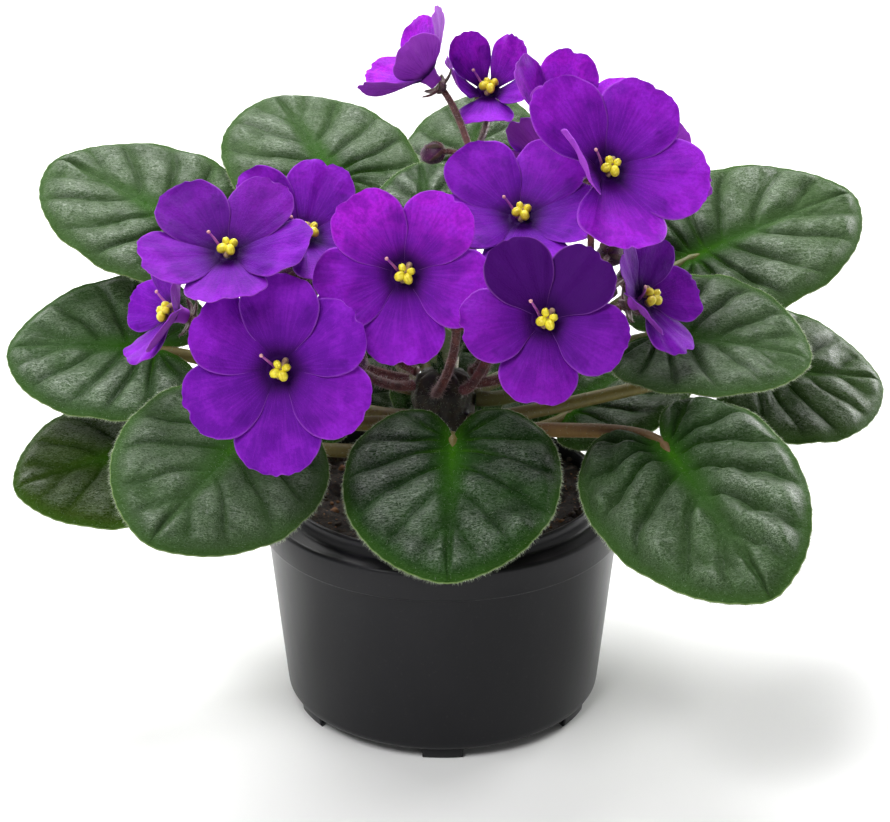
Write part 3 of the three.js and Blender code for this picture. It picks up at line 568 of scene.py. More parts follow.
def leaf_look():
    """Quilted leaf skin. Mark: vein, edge, nearness to the notch, pale midrib. Tone: silvery grey,
    olive, underside, crest of the quilting."""
    look = Look("leaf skin", 0.38)
    vein, edge, notch, spine = look.mark()
    grey, olive, under, crest = look.mark("tone")
    broad = look.noise(9, 3)
    grain = look.noise(0.45, 2, stretch=(0.36, 1, 1), rough=0.6, twist=1.6)
    # Pale speckle of the hairs, made brighter on the quilting's crests as a painted highlight.
    silver_and_highlight = look.times(look.line(grey, 0.13, 0.25), look.line(crest, 0.4, 1.0))
    bright = look.times(look.between(0.3, 0.9, vein), look.calc("POWER", notch, 2.0))
    patches = look.between(0.35, 0.65, broad)
    colour = look.mix((0.0035, 0.018, 0.002), (0.012, 0.045, 0.006), patches)
    colour = look.layers(colour, [
        ((0.066, 0.115, 0.046), grey, 0.85),
        ((0.035, 0.06, 0.004), olive, 0.75),
        ((0.16, 0.26, 0.12), look.between(0.52, 0.63, grain), silver_and_highlight),
        ((0.002, 0.009, 0.001), look.between(0.49, 0.38, grain), look.line(grey, 0.45, -0.2)),
        # Painted shade: the vein grooves, midrib and cell lines are darkened as if shaded.
        ((0.003, 0.016, 0.001), vein, 0.6),
        # Painted shade: the blade darkens near its notch, where the flowers overshadow it.
        ((0.003, 0.02, 0.0015), notch, 0.6),
        ((0.04, 0.13, 0.005), bright, 0.6),
        ((0.035, 0.15, 0.003), spine, 0.5),
        ((0.03, 0.09, 0.006), look.between(0.7, 0.93, edge), 0.35),
        ((0.2, 0.3, 0.1), look.between(0.97, 0.995, edge), 0.7),
    ])
    back = look.mix((0.11, 0.15, 0.07), (0.15, 0.2, 0.09), broad)
    colour = look.mix(colour, look.layers(back, [((0.13, 0.09, 0.06), vein, 0.4)]), under)
    # The crests glisten, and the notch and the rim are duller.
    gleam = look.line(look.between(0.38, 0.64, grain), 0.03, 0.5)
    gleam = look.times(gleam, look.line(crest, 0.12, 2.0))
    gleam = look.times(gleam, look.line(notch, 1.0, -0.85))
    gleam = look.times(gleam, look.line(look.between(0.5, 0.9, edge), 1.0, -0.35))
    look.set(look.shader.inputs["Specular IOR Level"], gleam)
    normal = look.bump(grain, 0.3, 0.9, look.bump(look.noise(1.7, 2), 0.25, 0.6))
    return look.finish(colour, look.line(grain, 0.26, 0.12), normal)


def petiole_look():
    """Leaf stalk. Mark: share of the way from the crown to the blade, and the leaf's redness."""
    look = Look(
        "leaf stalk", 0.5, Specular_IOR_Level=0.3, Sheen_Weight=0.08, Sheen_Roughness=0.5,
        Sheen_Tint=(0.9, 0.8, 0.6, 1),
    )
    along, red = look.mark()[:2]
    streak = look.noise(1.6, 2, stretch=(1, 1, 0.4))
    green = look.mix((0.07, 0.1, 0.014), (0.13, 0.16, 0.025), streak)
    brown = look.mix((0.1, 0.035, 0.014), (0.17, 0.07, 0.018), streak)
    colour = look.mix(green, brown, red)
    colour = look.mix(colour, (0.05, 0.03, 0.02), look.calc("SUBTRACT", 0.45, along, clamp=True))
    return look.finish(colour, None, look.bump(look.noise(0.6, 2), 0.12))


def hair_look(name, colour):
    look = Look(name, 0.45, Sheen_Weight=0.2)
    return look.finish(look.mix(colour, tuple(c * 0.75 for c in colour), look.noise(3, 1)))


def petal_look():
    """Petal. Mark: way from the throat, rim, overlap with a neighbour, where shade is painted.
    Tone:
    magenta, back face, angle in the flower's fan, painted shade of the colour."""
    look = Look(
        "petal", 0.5, Specular_IOR_Level=0.05, Sheen_Weight=0.03, Sheen_Roughness=0.3,
        Sheen_Tint=(0.7, 0.15, 1.0, 1),
    )
    along, rim, overlap = look.mark()[:3]
    magenta, back, fan, depth = look.mark("tone")
    grain = look.noise(0.3, 2, rough=0.7)
    cloud = look.noise(6, 2)
    mottle = look.between(0.42, 0.6, look.noise(0.9, 3, rough=0.65))
    place = look.times(fan, 26.0), look.times(along, 2.5), look.times(magenta, 9.0)
    streak = look.streaks(*place, 3.0)
    vein = look.times(look.between(0.5, 0.68, streak), look.between(1.1, 0.2, along))
    colour = look.mix((0.165, 0.008, 0.39), (0.46, 0.014, 0.68), magenta)
    colour = look.layers(colour, [
        ((0.27, 0.016, 0.58), look.between(0.46, 0.62, cloud), 0.5),
        ((0.09, 0.004, 0.25), look.between(0.52, 0.36, cloud), 0.45),
        # painted shade, darker towards the throat
        ((0.07, 0.004, 0.2), look.between(0.8, 0.2, along), 0.75),
        ((0.095, 0.004, 0.26), mottle, 0.3),
        ((0.075, 0.004, 0.22), vein, 0.42),
        ((0.32, 0.025, 0.62), look.between(0.48, 0.36, streak), 0.14),
        ((0.36, 0.03, 0.7), look.between(0.6, 0.72, grain), 0.35),
        # painted shade where petals overlap
        ((0.05, 0.002, 0.15), overlap, 0.65),
    ])
    behind = look.mix((0.28, 0.03, 0.48), (0.38, 0.07, 0.58), cloud)
    colour = look.mix(colour, look.layers(behind, [((0.18, 0.02, 0.3), vein, 0.7)]), back)
    # Painted shade: petals that tilt away from the light or lie in a neighbour's shadow are
    # darkened.
    colour = look.mix(colour, (0.04, 0.002, 0.1), depth)
    # Painted shade deep in the throat, round the anthers.
    throat = look.between(0.34, 0.05, along)
    colour = look.mix(colour, (0.022, 0.001, 0.06), look.calc("POWER", throat, 1.6))
    colour = look.layers(colour, [((0.45, 0.12, 0.7), rim, 0.34)])
    normal = look.bump(grain, 0.1, 0.9, look.bump(streak, 0.22, 0.6, look.bump(mottle, 0.1, 0.5)))
    return look.finish(colour, look.line(grain, 0.42, 0.24), normal)


def stalk_look(name, dark, light, sheen=0.14):
    look = Look(
        name, 0.5, Specular_IOR_Level=0.3, Sheen_Weight=sheen, Sheen_Roughness=0.5,
        Sheen_Tint=(0.95, 0.8, 0.8, 1),
    )
    colour = look.mix(dark, light, look.between(0.35, 0.7, look.noise(2.5, 3)))
    return look.finish(colour, None, look.bump(look.noise(0.5, 2), 0.15))


def anther_look():
    """Anther. Mark: nearness to the foot, where shade is painted."""
    look = Look("anther", 0.38, Subsurface_Weight=0.15, Subsurface_Radius=(0.001, 0.0007, 0.0003))
    cloud = look.between(0.3, 0.7, look.noise(1.2, 2))
    colour = look.mix((0.62, 0.5, 0.012), (0.8, 0.7, 0.04), cloud)
    # Painted shade: the lobes darken to olive towards their foot and in the gaps below.
    colour = look.layers(colour, [((0.3, 0.3, 0.01), look.mark()[0], 0.8)])
    return look.finish(colour, None, look.bump(look.noise(0.25, 2), 0.05))


def peat_look():
    look = Look("peat", 0.9)
    crumbs = look.noise(1.6, 5, rough=0.7)
    pale = look.between(0.4, 0.75, crumbs)
    colour = look.mix((0.006, 0.0035, 0.002), (0.045, 0.024, 0.012), pale)
    fleck = look.between(0.66, 0.72, look.noise(1.1, 1))
    colour = look.layers(colour, [((0.2, 0.085, 0.03), fleck, 0.8)])
    return look.finish(colour, None, look.bump(look.noise(0.7, 4, rough=0.7), 0.8))


def crumb_look(name, dark, light):
    look = Look(name, 0.9)
    colour = look.mix(dark, light, look.noise(1.2, 3))
    return look.finish(colour, None, look.bump(look.noise(0.5, 3), 0.3))


def pot_look():
    look = Look("charcoal plastic", 0.34, Specular_IOR_Level=0.19)
    fine = look.noise(0.5, 3, rough=0.6)
    scuff = look.noise(5, 5, stretch=(1, 1, 0.25), rough=0.75)
    colour = look.mix((0.006, 0.006, 0.0075), (0.01, 0.01, 0.0115), scuff)
    dust = look.between(0.62, 0.75, look.noise(0.9, 2))
    colour = look.layers(colour, [((0.06, 0.058, 0.055), dust, 0.12)])
    normal = look.bump(fine, 0.03, 0.6, look.bump(scuff, 0.08, 0.3))
    return look.finish(colour, look.line(scuff, 0.3, 0.1), normal)


LEAF = leaf_look()
PETIOLE = petiole_look()
LEAF_HAIR = hair_look("leaf hair", (0.12, 0.19, 0.08))
FRINGE = hair_look("leaf fringe", (0.42, 0.5, 0.32))
STALK_HAIR = hair_look("stalk hair", (0.3, 0.2, 0.18))
PETAL = petal_look()
STYLE = stalk_look("style", (0.25, 0.03, 0.3), (0.4, 0.1, 0.35))
STIGMA = stalk_look("stigma", (0.6, 0.25, 0.3), (0.7, 0.4, 0.35))
STALK = stalk_look("flower stalk", (0.05, 0.012, 0.012), (0.12, 0.036, 0.03))
SEPAL = stalk_look("sepal", (0.045, 0.03, 0.016), (0.1, 0.03, 0.035))
BUD = stalk_look("bud", (0.035, 0.006, 0.03), (0.08, 0.012, 0.06))
# The crown is dark brown, made near-black as painted shade of the plant's centre.
CROWN = stalk_look("crown", (0.008, 0.006, 0.003), (0.028, 0.02, 0.007), 0.0)
ANTHER = anther_look()
FILAMENT = stalk_look("filament", (0.16, 0.08, 0.05), (0.4, 0.26, 0.14))
PEAT = peat_look()
CRUMB = crumb_look("peat crumb", (0.008, 0.005, 0.003), (0.05, 0.028, 0.015))
BARK = crumb_look("bark crumb", (0.07, 0.03, 0.012), (0.24, 0.11, 0.04))
POT = pot_look()

# Leaves


def blade_height(along, across, length, arch, cup):
    """Height of a plain blade, where along and across are shares of its length and half width."""
    wave = WAVE_HEIGHT * length * np.cos(along * WAVE_TURN)
    return -arch * np.maximum(along, 0) ** 2 + cup * across**2 + wave * np.abs(across) ** 3


def blade_grids(size, shape, quilt, outline, roots, grid, veins, seed):
    """Upper and lower grids of a blade in its own frame, from the notch along x to the tip, with
    its marks and the crests of its quilting."""
    length, width = size
    arch, cup = shape
    rows, columns = grid
    scale = np.array([length, width / 2])

    # Each row runs from the edge over the midrib to the other edge, along a side vein's way.
    controls = [(0, 0), *outline, (1, 0), (outline[-1][0], -outline[-1][1])]
    edge, place = smooth_through(np.array(controls) * scale, rows, after=1)
    edge = edge / scale
    teeth = 1 + 0.003 * np.sin(place * 17) * step(0.5, 1.5, place)
    edge = (edge - (0.3, 0)) * teeth[:, None] + (0.3, 0)
    edge[0], edge[-1] = (0, 0), (1, 0)
    root = np.interp(place, range(len(roots) + 2), [0, *roots, 0.97])
    share = np.linspace(-1, 1, 2 * columns + 1)
    share = np.sign(share) * (1 - (1 - np.abs(share)) ** 1.25)
    s = np.abs(share)[None]
    u = root[:, None] + (edge[:, :1] - root[:, None]) * s**1.45
    w = edge[:, 1:] * share[None]
    flat = np.stack([u * length, w * width / 2], -1)

    # Distances from the rim, the midrib and the notch
    rim = np.concatenate([flat[:, 0], flat[:, -1]])
    inset = np.linalg.norm(flat[:, :, None] - rim, axis=-1).min(axis=-1)
    reach = np.linalg.norm((edge - np.stack([root, 0 * root], -1)) * scale, axis=1)[:, None]
    from_midrib = s * reach
    from_notch = np.hypot(flat[..., 0], flat[..., 1])

    # Grooves over the veins
    per_point = np.maximum(np.gradient(place), 1e-6)[:, None]
    spacing = np.linalg.norm(np.gradient(flat, axis=0), axis=2) / per_point
    groove = np.zeros(u.shape)
    for at, depth in veins:
        wiggle = 0.14 * np.sin(s * 8 + at * 3) * s
        away = np.abs(place[:, None] - at + wiggle) * spacing
        vein = depth * np.exp(-((away / 0.95) ** 2)) * step(1.5, 6, inset) * step(0, 0.12, s)
        groove = np.maximum(groove, vein)
    midrib = np.exp(-((from_midrib / 1.5) ** 2)) * (1 - 0.75 * np.clip(u, 0, 1))

    # Pillows between them
    stations = np.array([*(at for at, _ in veins), len(roots) + 1.7])
    between = np.interp(place, stations, np.arange(len(stations)))[:, None]
    bulge = np.abs(np.sin(np.pi * between)) ** 0.6
    spot = np.stack([flat[..., 0], flat[..., 1], np.full(u.shape, seed * 37.0)], -1)
    lumps = 0.6 * noise(spot, 10, seed) + 0.4 * noise(spot, 5, seed + 1)
    cells = np.exp(-((noise(spot, 6.5, seed + 5) / 0.16) ** 2))
    pebbles = noise(spot, 2.6, seed + 2)
    swell = step(0.03, 0.3, s) * step(0.8, 6, inset) * step(0, 5.5, from_midrib)
    pillows = bulge * (1.45 + 1.0 * lumps) + 0.5 * lumps - 0.22 * cells + 0.12 * pebbles
    relief = quilt * swell * pillows
    # The leaf material also paints a highlight on these crests.
    crest = np.clip(0.55 * relief / quilt - 0.12, 0, 1)
    relief -= 0.75 * quilt * groove + 0.95 * midrib

    # The rim rolls down and thins out.
    scallops = 0.15 * np.abs(np.sin(place * 8.5))[:, None]
    rolled = -1.3 * step(5.5, 0, inset) ** 2 - scallops * step(3, 0, inset)
    z = blade_height(u, w, length, arch, cup) + relief + rolled * step(0, 9, from_notch)
    thick = LEAF_THICKNESS * (0.35 + 0.65 * step(0, 3.5, inset))
    top = np.stack([flat[..., 0], flat[..., 1], z], -1)
    top[0], top[-1] = top[0, 0], top[-1, 0]
    bottom = top - np.stack([0 * thick, 0 * thick, thick], -1)

    vein = np.clip(np.maximum(groove, np.maximum(midrib, 0.45 * cells * swell)), 0, 1)
    notch = np.exp(-((from_notch / (0.3 * length)) ** 2))
    spine = np.exp(-((flat[..., 0] / (0.45 * length)) ** 2) - (flat[..., 1] / 3.6) ** 2)
    marks = np.stack([vein, 1 - np.clip(inset / 10, 0, 1), notch, spine], -1)
    return top, bottom, marks, crest


def grid_hairs(top, count, low, high, lean, up=1):
    """Hairs spread evenly over the upper or lower grid of a sheet."""
    a, b = top[:-1, :-1], top[:-1, 1:]
    c, d = top[1:, 1:], top[1:, :-1]
    facing = np.cross(c - a, d - b)
    facing *= up * np.sign(facing[..., 2].sum())
    area = np.linalg.norm(facing, axis=-1)
    pick = random.choice(area.size, count, p=(area / area.sum()).ravel())
    p, q = random.uniform(size=(2, count, 1))
    a, b, c, d = (grid.reshape(-1, 3)[pick] for grid in (a, b, c, d))
    roots = (1 - p) * ((1 - q) * a + q * b) + p * ((1 - q) * d + q * c)
    ways = scattered(unit(facing.reshape(-1, 3)[pick]), lean)
    return hairs(roots, ways, random.uniform(low, high, count))


def edge_hairs(top, bottom, count, low, high):
    """A fringe that stands outwards along both edges of a sheet."""
    rims, outs = [], []
    for side, inner in ((0, 2), (-1, -3)):
        rims.append((top[1:-1, side] + bottom[1:-1, side]) / 2)
        outs.append(unit(top[1:-1, side] - top[1:-1, inner]))
    rims, outs = np.concatenate(rims), np.concatenate(outs)
    following = np.roll(rims, -1, axis=0)
    steps = np.linalg.norm(following - rims, axis=1)
    steps[steps > 4] = 0  # from one edge to the other
    pick = random.choice(len(rims), count, p=steps / steps.sum())
    roots = rims[pick] + random.uniform(size=(count, 1)) * (following[pick] - rims[pick])
    return hairs(roots, scattered(outs[pick], 0.35), random.uniform(low, high, count))


def add_blade(piece, grids, at, matrix, tone, kinds, surface, fringe):
    """A blade's skin, hairs on its faces and a fringe, in three kinds of material."""
    top, bottom, marks, crest = grids
    skin, hair, rim = kinds
    crest = crest.ravel()
    grey, olive = (value + 0 * crest for value in tone)
    tones = np.concatenate([
        np.stack([grey, olive, under + 0 * crest, crest], -1) for under in (0, 1)
    ])
    marks = np.tile(marks.reshape(-1, 4), (2, 1))
    piece.put(sheet(top, bottom, pinch_first=True), at, matrix, skin, marks, tones)
    piece.put(grid_hairs(top, surface, 0.5, 1.15, 0.9), at, matrix, hair)
    piece.put(grid_hairs(bottom, surface // 4, 0.5, 1.0, 0.9, up=-1), at, matrix, hair)
    piece.put(edge_hairs(top, bottom, fringe, 0.7, 1.5), at, matrix, rim)


def make_leaf(key, row, seed):
    """A leaf's blade and stalk."""
    at, (heading, pitch, roll), size, shape, (azimuth, height), (grey, olive, quilt) = row
    matrix = turned("z", heading) @ turned("y", -pitch) @ turned("x", roll)
    piece = Piece()
    grids = blade_grids(size, shape, quilt, BLADE_OUTLINE, VEIN_ROOTS, BLADE_GRID, VEINS, seed)
    add_blade(piece, grids, at, matrix, (grey, olive), (0, 2, 3), surface=1500, fringe=1200)

    # The stalk from the crown to the notch, and its rib under the blade
    out = direction(azimuth)
    start = np.array([*CROWN_AT, height]) + out * (CROWN_RADIUS + CLEAR)
    clear = start + out * PETIOLE_ROOT_RADIUS
    reach = np.linalg.norm(start - at)
    end = np.array([(-reach * 0.25, 0, -PETIOLE_TOP_RADIUS), (0, 0, -PETIOLE_TOP_RADIUS)])
    steering = [clear, clear + out * reach * 0.3, *placed(end, at, matrix)]
    rib = np.linspace(0.06, 0.86, RIB_STATIONS)
    drop = blade_height(rib, 0 * rib, size[0], *shape) - LEAF_THICKNESS - 1.9 + 1.2 * rib
    rib_points = placed(np.stack([rib * size[0], 0 * rib, drop], -1), at, matrix)
    path = [start, *bezier(steering, PETIOLE_STATIONS), *rib_points]
    line, share = smooth_through(path, PETIOLE_RINGS)
    blade, last = PETIOLE_STATIONS + 1, PETIOLE_STATIONS + RIB_STATIONS
    radii = np.interp(
        share, [0, blade, blade + 3, last], [PETIOLE_ROOT_RADIUS, PETIOLE_TOP_RADIUS, 1.45, 0.35],
    )
    points, faces, ways = tube(line, radii, PETIOLE_SIDES)
    along = np.clip(np.append(np.repeat(share, PETIOLE_SIDES), [0, last]) / blade, 0, 1)
    redness = np.full(len(along), REDNESS.get(key, COMMON_REDNESS))
    piece.add(points, faces, 1, np.stack([along, redness, 0 * along, 0 * along], -1))
    hairy = slice(PETIOLE_SIDES * HAIRY_RINGS)
    piece.add(*tube_hairs(points[hairy], ways[hairy], 450, 0.7, 1.7), 2)
    piece.build(f"leaf_{key}_skin", [LEAF, PETIOLE, LEAF_HAIR, FRINGE], f"leaf_{key}")


for seed, (key, row) in enumerate(LEAVES.items()):
    make_leaf(key, row, seed)

# Crown


def make_crown():
    """The plant's stem, swollen where each stalk stands, and its young leaves."""
    piece = Piece()
    waist = 7.5
    heights = np.linspace(CROWN_BOTTOM, CROWN_TOP, CROWN_RINGS)
    widths = [NECK_RADIUS, 8, waist, 4]
    radii = np.interp(heights, [NECK_TOP - 4, LEAVES_BOTTOM, CROWN_TOP - 6, CROWN_TOP], widths)
    column = np.stack([0 * heights, 0 * heights, heights], -1) + (*CROWN_AT, 0)
    points, faces, ways = tube(column, radii, CROWN_SIDES)
    side = np.abs(ways[:, 2:]) < 0.5
    around = np.arctan2(ways[:, 1], ways[:, 0])
    height = points[:, 2]
    swell = np.zeros(len(points))
    roots = [row[4] for row in LEAVES.values()]
    roots += [(row[0], STALK_HEIGHT) for row in STALKS.values()]
    for azimuth, root in roots:
        turn = (around - math.radians(azimuth) + np.pi) % (2 * np.pi) - np.pi
        below = np.clip((root + 2 - height) / 20, 0, 1)
        width = 2.6 + 2.6 * below
        reach = CROWN_RADIUS + CLEAR - waist
        reach = reach * (1 - below**1.3) * step(root + 3.2, root + 1.6, height)
        swell = np.maximum(swell, reach * np.exp(-((turn * 9 / width) ** 2) * 2))
    scales = 0.3 * np.sin(height * 2.1 + 3 * around) * step(NECK_TOP + 8, NECK_TOP, height)
    points = points + ways * (swell + scales + 0.3 * noise(points, 3, 5))[:, None] * side
    piece.add(points, faces, 0)
    hairy = slice(*(CROWN_SIDES * ring for ring in CROWN_HAIRY_RINGS))
    piece.add(*tube_hairs(points[hairy], ways[hairy], 1500, 0.8, 2.0), 2)

    for i, (turn, start, notch, pitch, size) in enumerate(YOUNG_LEAVES):
        out = direction(turn)
        start, notch = (np.array([*CROWN_AT, z]) + away * out for away, z in (start, notch))
        matrix = turned("z", turn) @ turned("y", -pitch)
        grids = blade_grids(
            size, YOUNG_SHAPE, 0.45, YOUNG_OUTLINE, YOUNG_ROOTS, YOUNG_GRID, YOUNG_VEINS, 90 + i,
        )
        add_blade(piece, grids, notch, matrix, (0.35, 0.1), (1, 2, 2), surface=450, fringe=250)
        end = notch + 4 * direction(turn, pitch) - 1.2 * direction(turn, pitch + 90)
        points, faces, ways = tube(bezier([start, (start + 2 * notch) / 3, end], 10), 1.1, 10)
        # On the leaf skin these marks give the young stalks some of the painted vein and notch
        # shade.
        piece.add(points, faces, 1, (0.3, 0.2, 0.6, 0), (0.2, 0.1, 0, 0))
        piece.add(*tube_hairs(points[:-2], ways[:-2], 250, 0.8, 1.6), 2)
    piece.build("crown_dressed", [CROWN, LEAF, LEAF_HAIR], "crown")


make_crown()

# Flowers


def petal_grids(row, cup, size, seed):
    """Front and back grids of a petal in the flower's frame, its marks, and its turn in the fan."""
    turn, length, width, over = row
    reach = length * size - HINGE_RADIUS
    half = width * size * math.cos(math.radians(cup * 0.7)) / 2
    rows, columns = PETAL_GRID
    tip = (PETAL_OUTLINE[-1][0], -PETAL_OUTLINE[-1][1])
    edge, _ = smooth_through(np.array([*PETAL_OUTLINE, (1, 0), tip]) * (reach, half), rows, after=1)
    share = np.linspace(-1, 1, 2 * columns + 1)
    share = np.sign(share) * (1 - (1 - np.abs(share)) ** 1.3)
    y = edge[:, :1] + 0 * share[None]
    x = edge[:, 1:] * share[None]
    a, b = y / reach, x / half
    sides = np.abs(share)[None] + 0 * y
    rim = np.maximum(step(0.55, 1.0, sides), step(0.9, 1.0, a))
    border = np.maximum(step(0.965, 1.0, sides), step(0.985, 1.0, a))
    seeded = np.full(x.shape, seed * 41.0)
    ruffle = noise(np.stack([x, y, seeded], -1), 5.5, seed)
    fray = noise(np.stack([np.arctan2(x, y) * 26, 0 * y, seeded], -1), 1.6, seed + 7) * 0.5
    notch = 0.9 * np.exp(-(((x - 0.8 * math.sin(seed)) / 1.3) ** 2)) * step(0.88, 1.0, a)
    notch = notch * (seed % 3 > 0)

    bow = BOW * (22 - cup)
    z = 4 * bow * a * (1 - a)
    lift = np.where(x < 0, over[0], over[1]) * EDGE_LIFT * np.interp(a, [0, 0.3], [0.5, 1])
    z = z + lift * np.abs(b) ** 1.6
    z = z + ruffle * 0.8 * rim * step(0.3, 0.9, a) - 0.3 * np.exp(-((x / 1.1) ** 2)) * (1 - a)
    # The overlap mark, which the material paints as shade: a ring where each side edge curls, and a
    # disc where the edge stands over its neighbour.
    overlap = np.zeros(x.shape)
    for side, upper in ((-1, over[0]), (1, over[1])):
        beyond = y - 0.5 * reach
        ring = np.hypot(x - side * 0.7 * half, beyond * 0.8)
        shown = 1.0 if upper > 0 else 0.25
        curl = np.exp(-(((ring - 1.9) / 0.35) ** 2)) * step(-0.4, 1.4, beyond)
        disc = step(2.2, 1.4, ring) * 0.5
        overlap = np.maximum(overlap, shown * np.maximum(disc * (upper > 0), curl))
        z = z + shown * 0.28 * np.exp(-((ring / 1.7) ** 2))
    y = y + (fray - notch) * step(0.6, 1.0, a)
    x = x * (1 + 0.035 * ruffle * step(0.2, 0.8, a))
    fan = np.arctan2(x, y + 3.0)
    folds = noise(np.stack([fan * 7, a * 1.3, seeded], -1), 1.0, seed + 3)
    z = z + 0.45 * folds * step(0.05, 0.4, a)
    front = np.stack([x, y, z], -1)
    thick = 0.32 + 0.2 * (1 - a) - 0.12 * rim
    back = front - np.stack([0 * thick, 0 * thick, thick], -1)
    front[-1], back[-1] = front[-1, columns], back[-1, columns]
    marks = np.stack([a, border, overlap, 1 + 0 * a], -1)
    matrix = turned("z", turn) @ turned("x", cup)
    hinge = turned("z", turn) @ np.array([0, HINGE_RADIUS, 0])
    return placed(front, hinge, matrix), placed(back, hinge, matrix), marks, fan + seed


THROAT = [
    (0, -TUBE_DEPTH), (1.9, -4.5), (2.2, -4.2), (2.4, -2.4), (3.2, -0.6), (3.9, 0.0), (3.7, 0.2),
    (2.8, -0.1), (1.6, -0.8), (0, -1.1),
]


def make_flower(key, row, seed):
    """A corolla with its petals, throat and style, and its pair of anthers."""
    at, (azimuth, pitch), spin, size, cups, (upper_magenta, magenta, depth) = row
    matrix = turned("z", azimuth + 90) @ turned("x", 90 - pitch) @ turned("z", spin)
    corolla = Piece()
    petals = SIX_PETALS if len(cups) == 6 else PETALS
    for number, (petal, cup) in enumerate(zip(petals, cups)):
        front, back, marks, fan = petal_grids(petal, cup, size, seed * 6 + number)
        fan = fan.ravel()
        upper = abs(petal[0]) < UPPER_TURN
        hue = (upper_magenta if upper else magenta) + HUE_SPREAD * math.sin(seed * 5 + number * 2)
        hue = min(1, max(0, hue)) + 0 * fan
        # Painted shade for the petals, strongest on the upper ones.
        painted_shade = depth * (1.0 if upper else LOWER_SHADE_SHARE) + 0 * fan
        tones = np.concatenate([np.stack([hue, side + 0 * fan, fan, painted_shade], -1) for side in (0, 1)])
        corolla.put(sheet(front, back), at, matrix, 0, np.tile(marks.reshape(-1, 4), (2, 1)), tones)
    points, faces = lathe(THROAT, 28)
    # The throat's inside keeps a way mark of 0, so the petal material paints it with the throat's
    # shade.
    outside = (np.hypot(points[:, 0], points[:, 1]) > 1.7) & (points[:, 2] < -0.3)
    none = np.zeros(len(points))
    marks = np.stack([0.25 * outside, none, none, none], -1)
    tones = np.stack([0.3 + none, 1.0 * outside, none, none], -1)
    corolla.put((points, faces), at, matrix, 0, marks, tones)

    # The style leans out of the throat to one side.
    foot = np.array([-1, 0.5, -1.0])
    tip = foot + np.array([-3.6, 2.8, 6.56])
    line = bezier([foot, (foot + tip) / 2 + (0.5, -0.4, 0.8), tip], 14)
    corolla.put(tube(line, np.linspace(0.5, 0.3, 14), 10), at, matrix, 1)
    corolla.put(ball(tip, (0.55, 0.55, 0.5)), at, matrix, 2)
    corolla.build(f"corolla_{key}_petals", [PETAL, STYLE, STIGMA], f"corolla_{key}")

    # Two anthers of two creased lobes each, on a filament each
    anthers = Piece()
    middle = np.array([0.5, -0.4, 0])
    for i in range(4):
        turn = 22.5 + 90 * i + 8 * math.sin(seed * 3 + i)
        centre = middle + 1.72 * direction(turn) + (0, 0, 3.15 + 0.25 * math.sin(seed + i * 2))
        tilt = turned("z", turn) @ turned("y", 14)
        large = 1.12 if i > 1 else 0.88
        points, faces, ways = ball((0, 0, 0), (1.5 * large, 1.2 * large, 1.5), 14, 20)
        crease = 0.16 * np.exp(-((ways[:, 1] / 0.22) ** 2)) * step(-0.2, 0.6, ways[:, 2])
        points = placed(points * (1 - crease)[:, None], centre, tilt)
        marks = np.stack([step(0.1, -0.7, ways[:, 2]), *np.zeros((3, len(ways)))], -1)
        anthers.put((points, faces), at, matrix, 0, marks)
    outwards = direction(67.5)
    for side, reach in ((-1, 2.6), (1, 5.4)):
        foot = middle + (0, 0, CLEAR) + 0.5 * side * outwards
        elbow = foot + reach * side * outwards + (0, 0, 0.9)
        line = bezier([foot, elbow, middle + (0, 0, 3.1)], 12)
        radii = np.interp(range(12), [0, 4, 11], [0.6, 0.95, 0.6])
        anthers.put(tube(line, radii, 10), at, matrix, 1)
    anthers.build(f"anthers_{key}_lobes", [ANTHER, FILAMENT], f"anthers_{key}")


for seed, (key, row) in enumerate(FLOWERS.items()):
    make_flower(key, row, seed)

# Stalks


def rotation_to(way):
    """Rotation that takes +Z to the given direction by the shortest turn."""
    way = unit(np.asarray(way, float))
    axis = np.cross((0, 0, 1), way)
    sine = np.linalg.norm(axis)
    if sine < 1e-6:
        return np.eye(3)
    k = axis / sine
    cross = np.array([[0, -k[2], k[1]], [k[2], 0, -k[0]], [-k[1], k[0], 0]])
    return np.eye(3) + sine * cross + (1 - way[2]) * cross @ cross


def add_calyx(piece, back, facing, seed):
    """A small hairy cup and five pointed sepals round the corolla's tube."""
    matrix = rotation_to(facing)
    points, faces, ways = ball((0, 0, -1.4), (2.1, 2.1, 1.5), 8, 16)
    points = placed(points, back, matrix)
    piece.add(points, faces, 1)
    piece.add(*tube_hairs(points, ways @ matrix.T, 100, 0.7, 1.3), 2)
    start = 1.2
    t = np.linspace(0, 1, 12)[:, None]
    across = np.linspace(-1, 1, 7)[None]
    half = 1.35 * np.interp(t, [0, 0.25, 0.6, 0.9, 1], [0.8, 1, 0.75, 0.3, 0.05])
    for i in range(5):
        sepal = matrix @ turned("z", 72 * i + 4 * math.sin(seed + i))
        x = start + (SEPAL_LENGTH - start) * t + 0 * across
        lift = -0.5 + 1.4 * t**2 + 0.25 * math.sin(seed * 2 + i)
        z = lift * t - 0.9 * (1 - t) + 0.35 * across**2
        top = np.stack([x, half * across, z], -1)
        top[-1] = top[-1, 3]
        bottom = top - (0, 0, 0.75) * (1 - 0.7 * t[..., None])
        piece.put(sheet(top, bottom), back, sepal, 1)
        piece.put(grid_hairs(bottom, 50, 0.5, 1.2, 0.6, up=-1), back, sepal, 2)
        piece.put(edge_hairs(top, bottom, 50, 0.5, 1.2), back, sepal, 2)


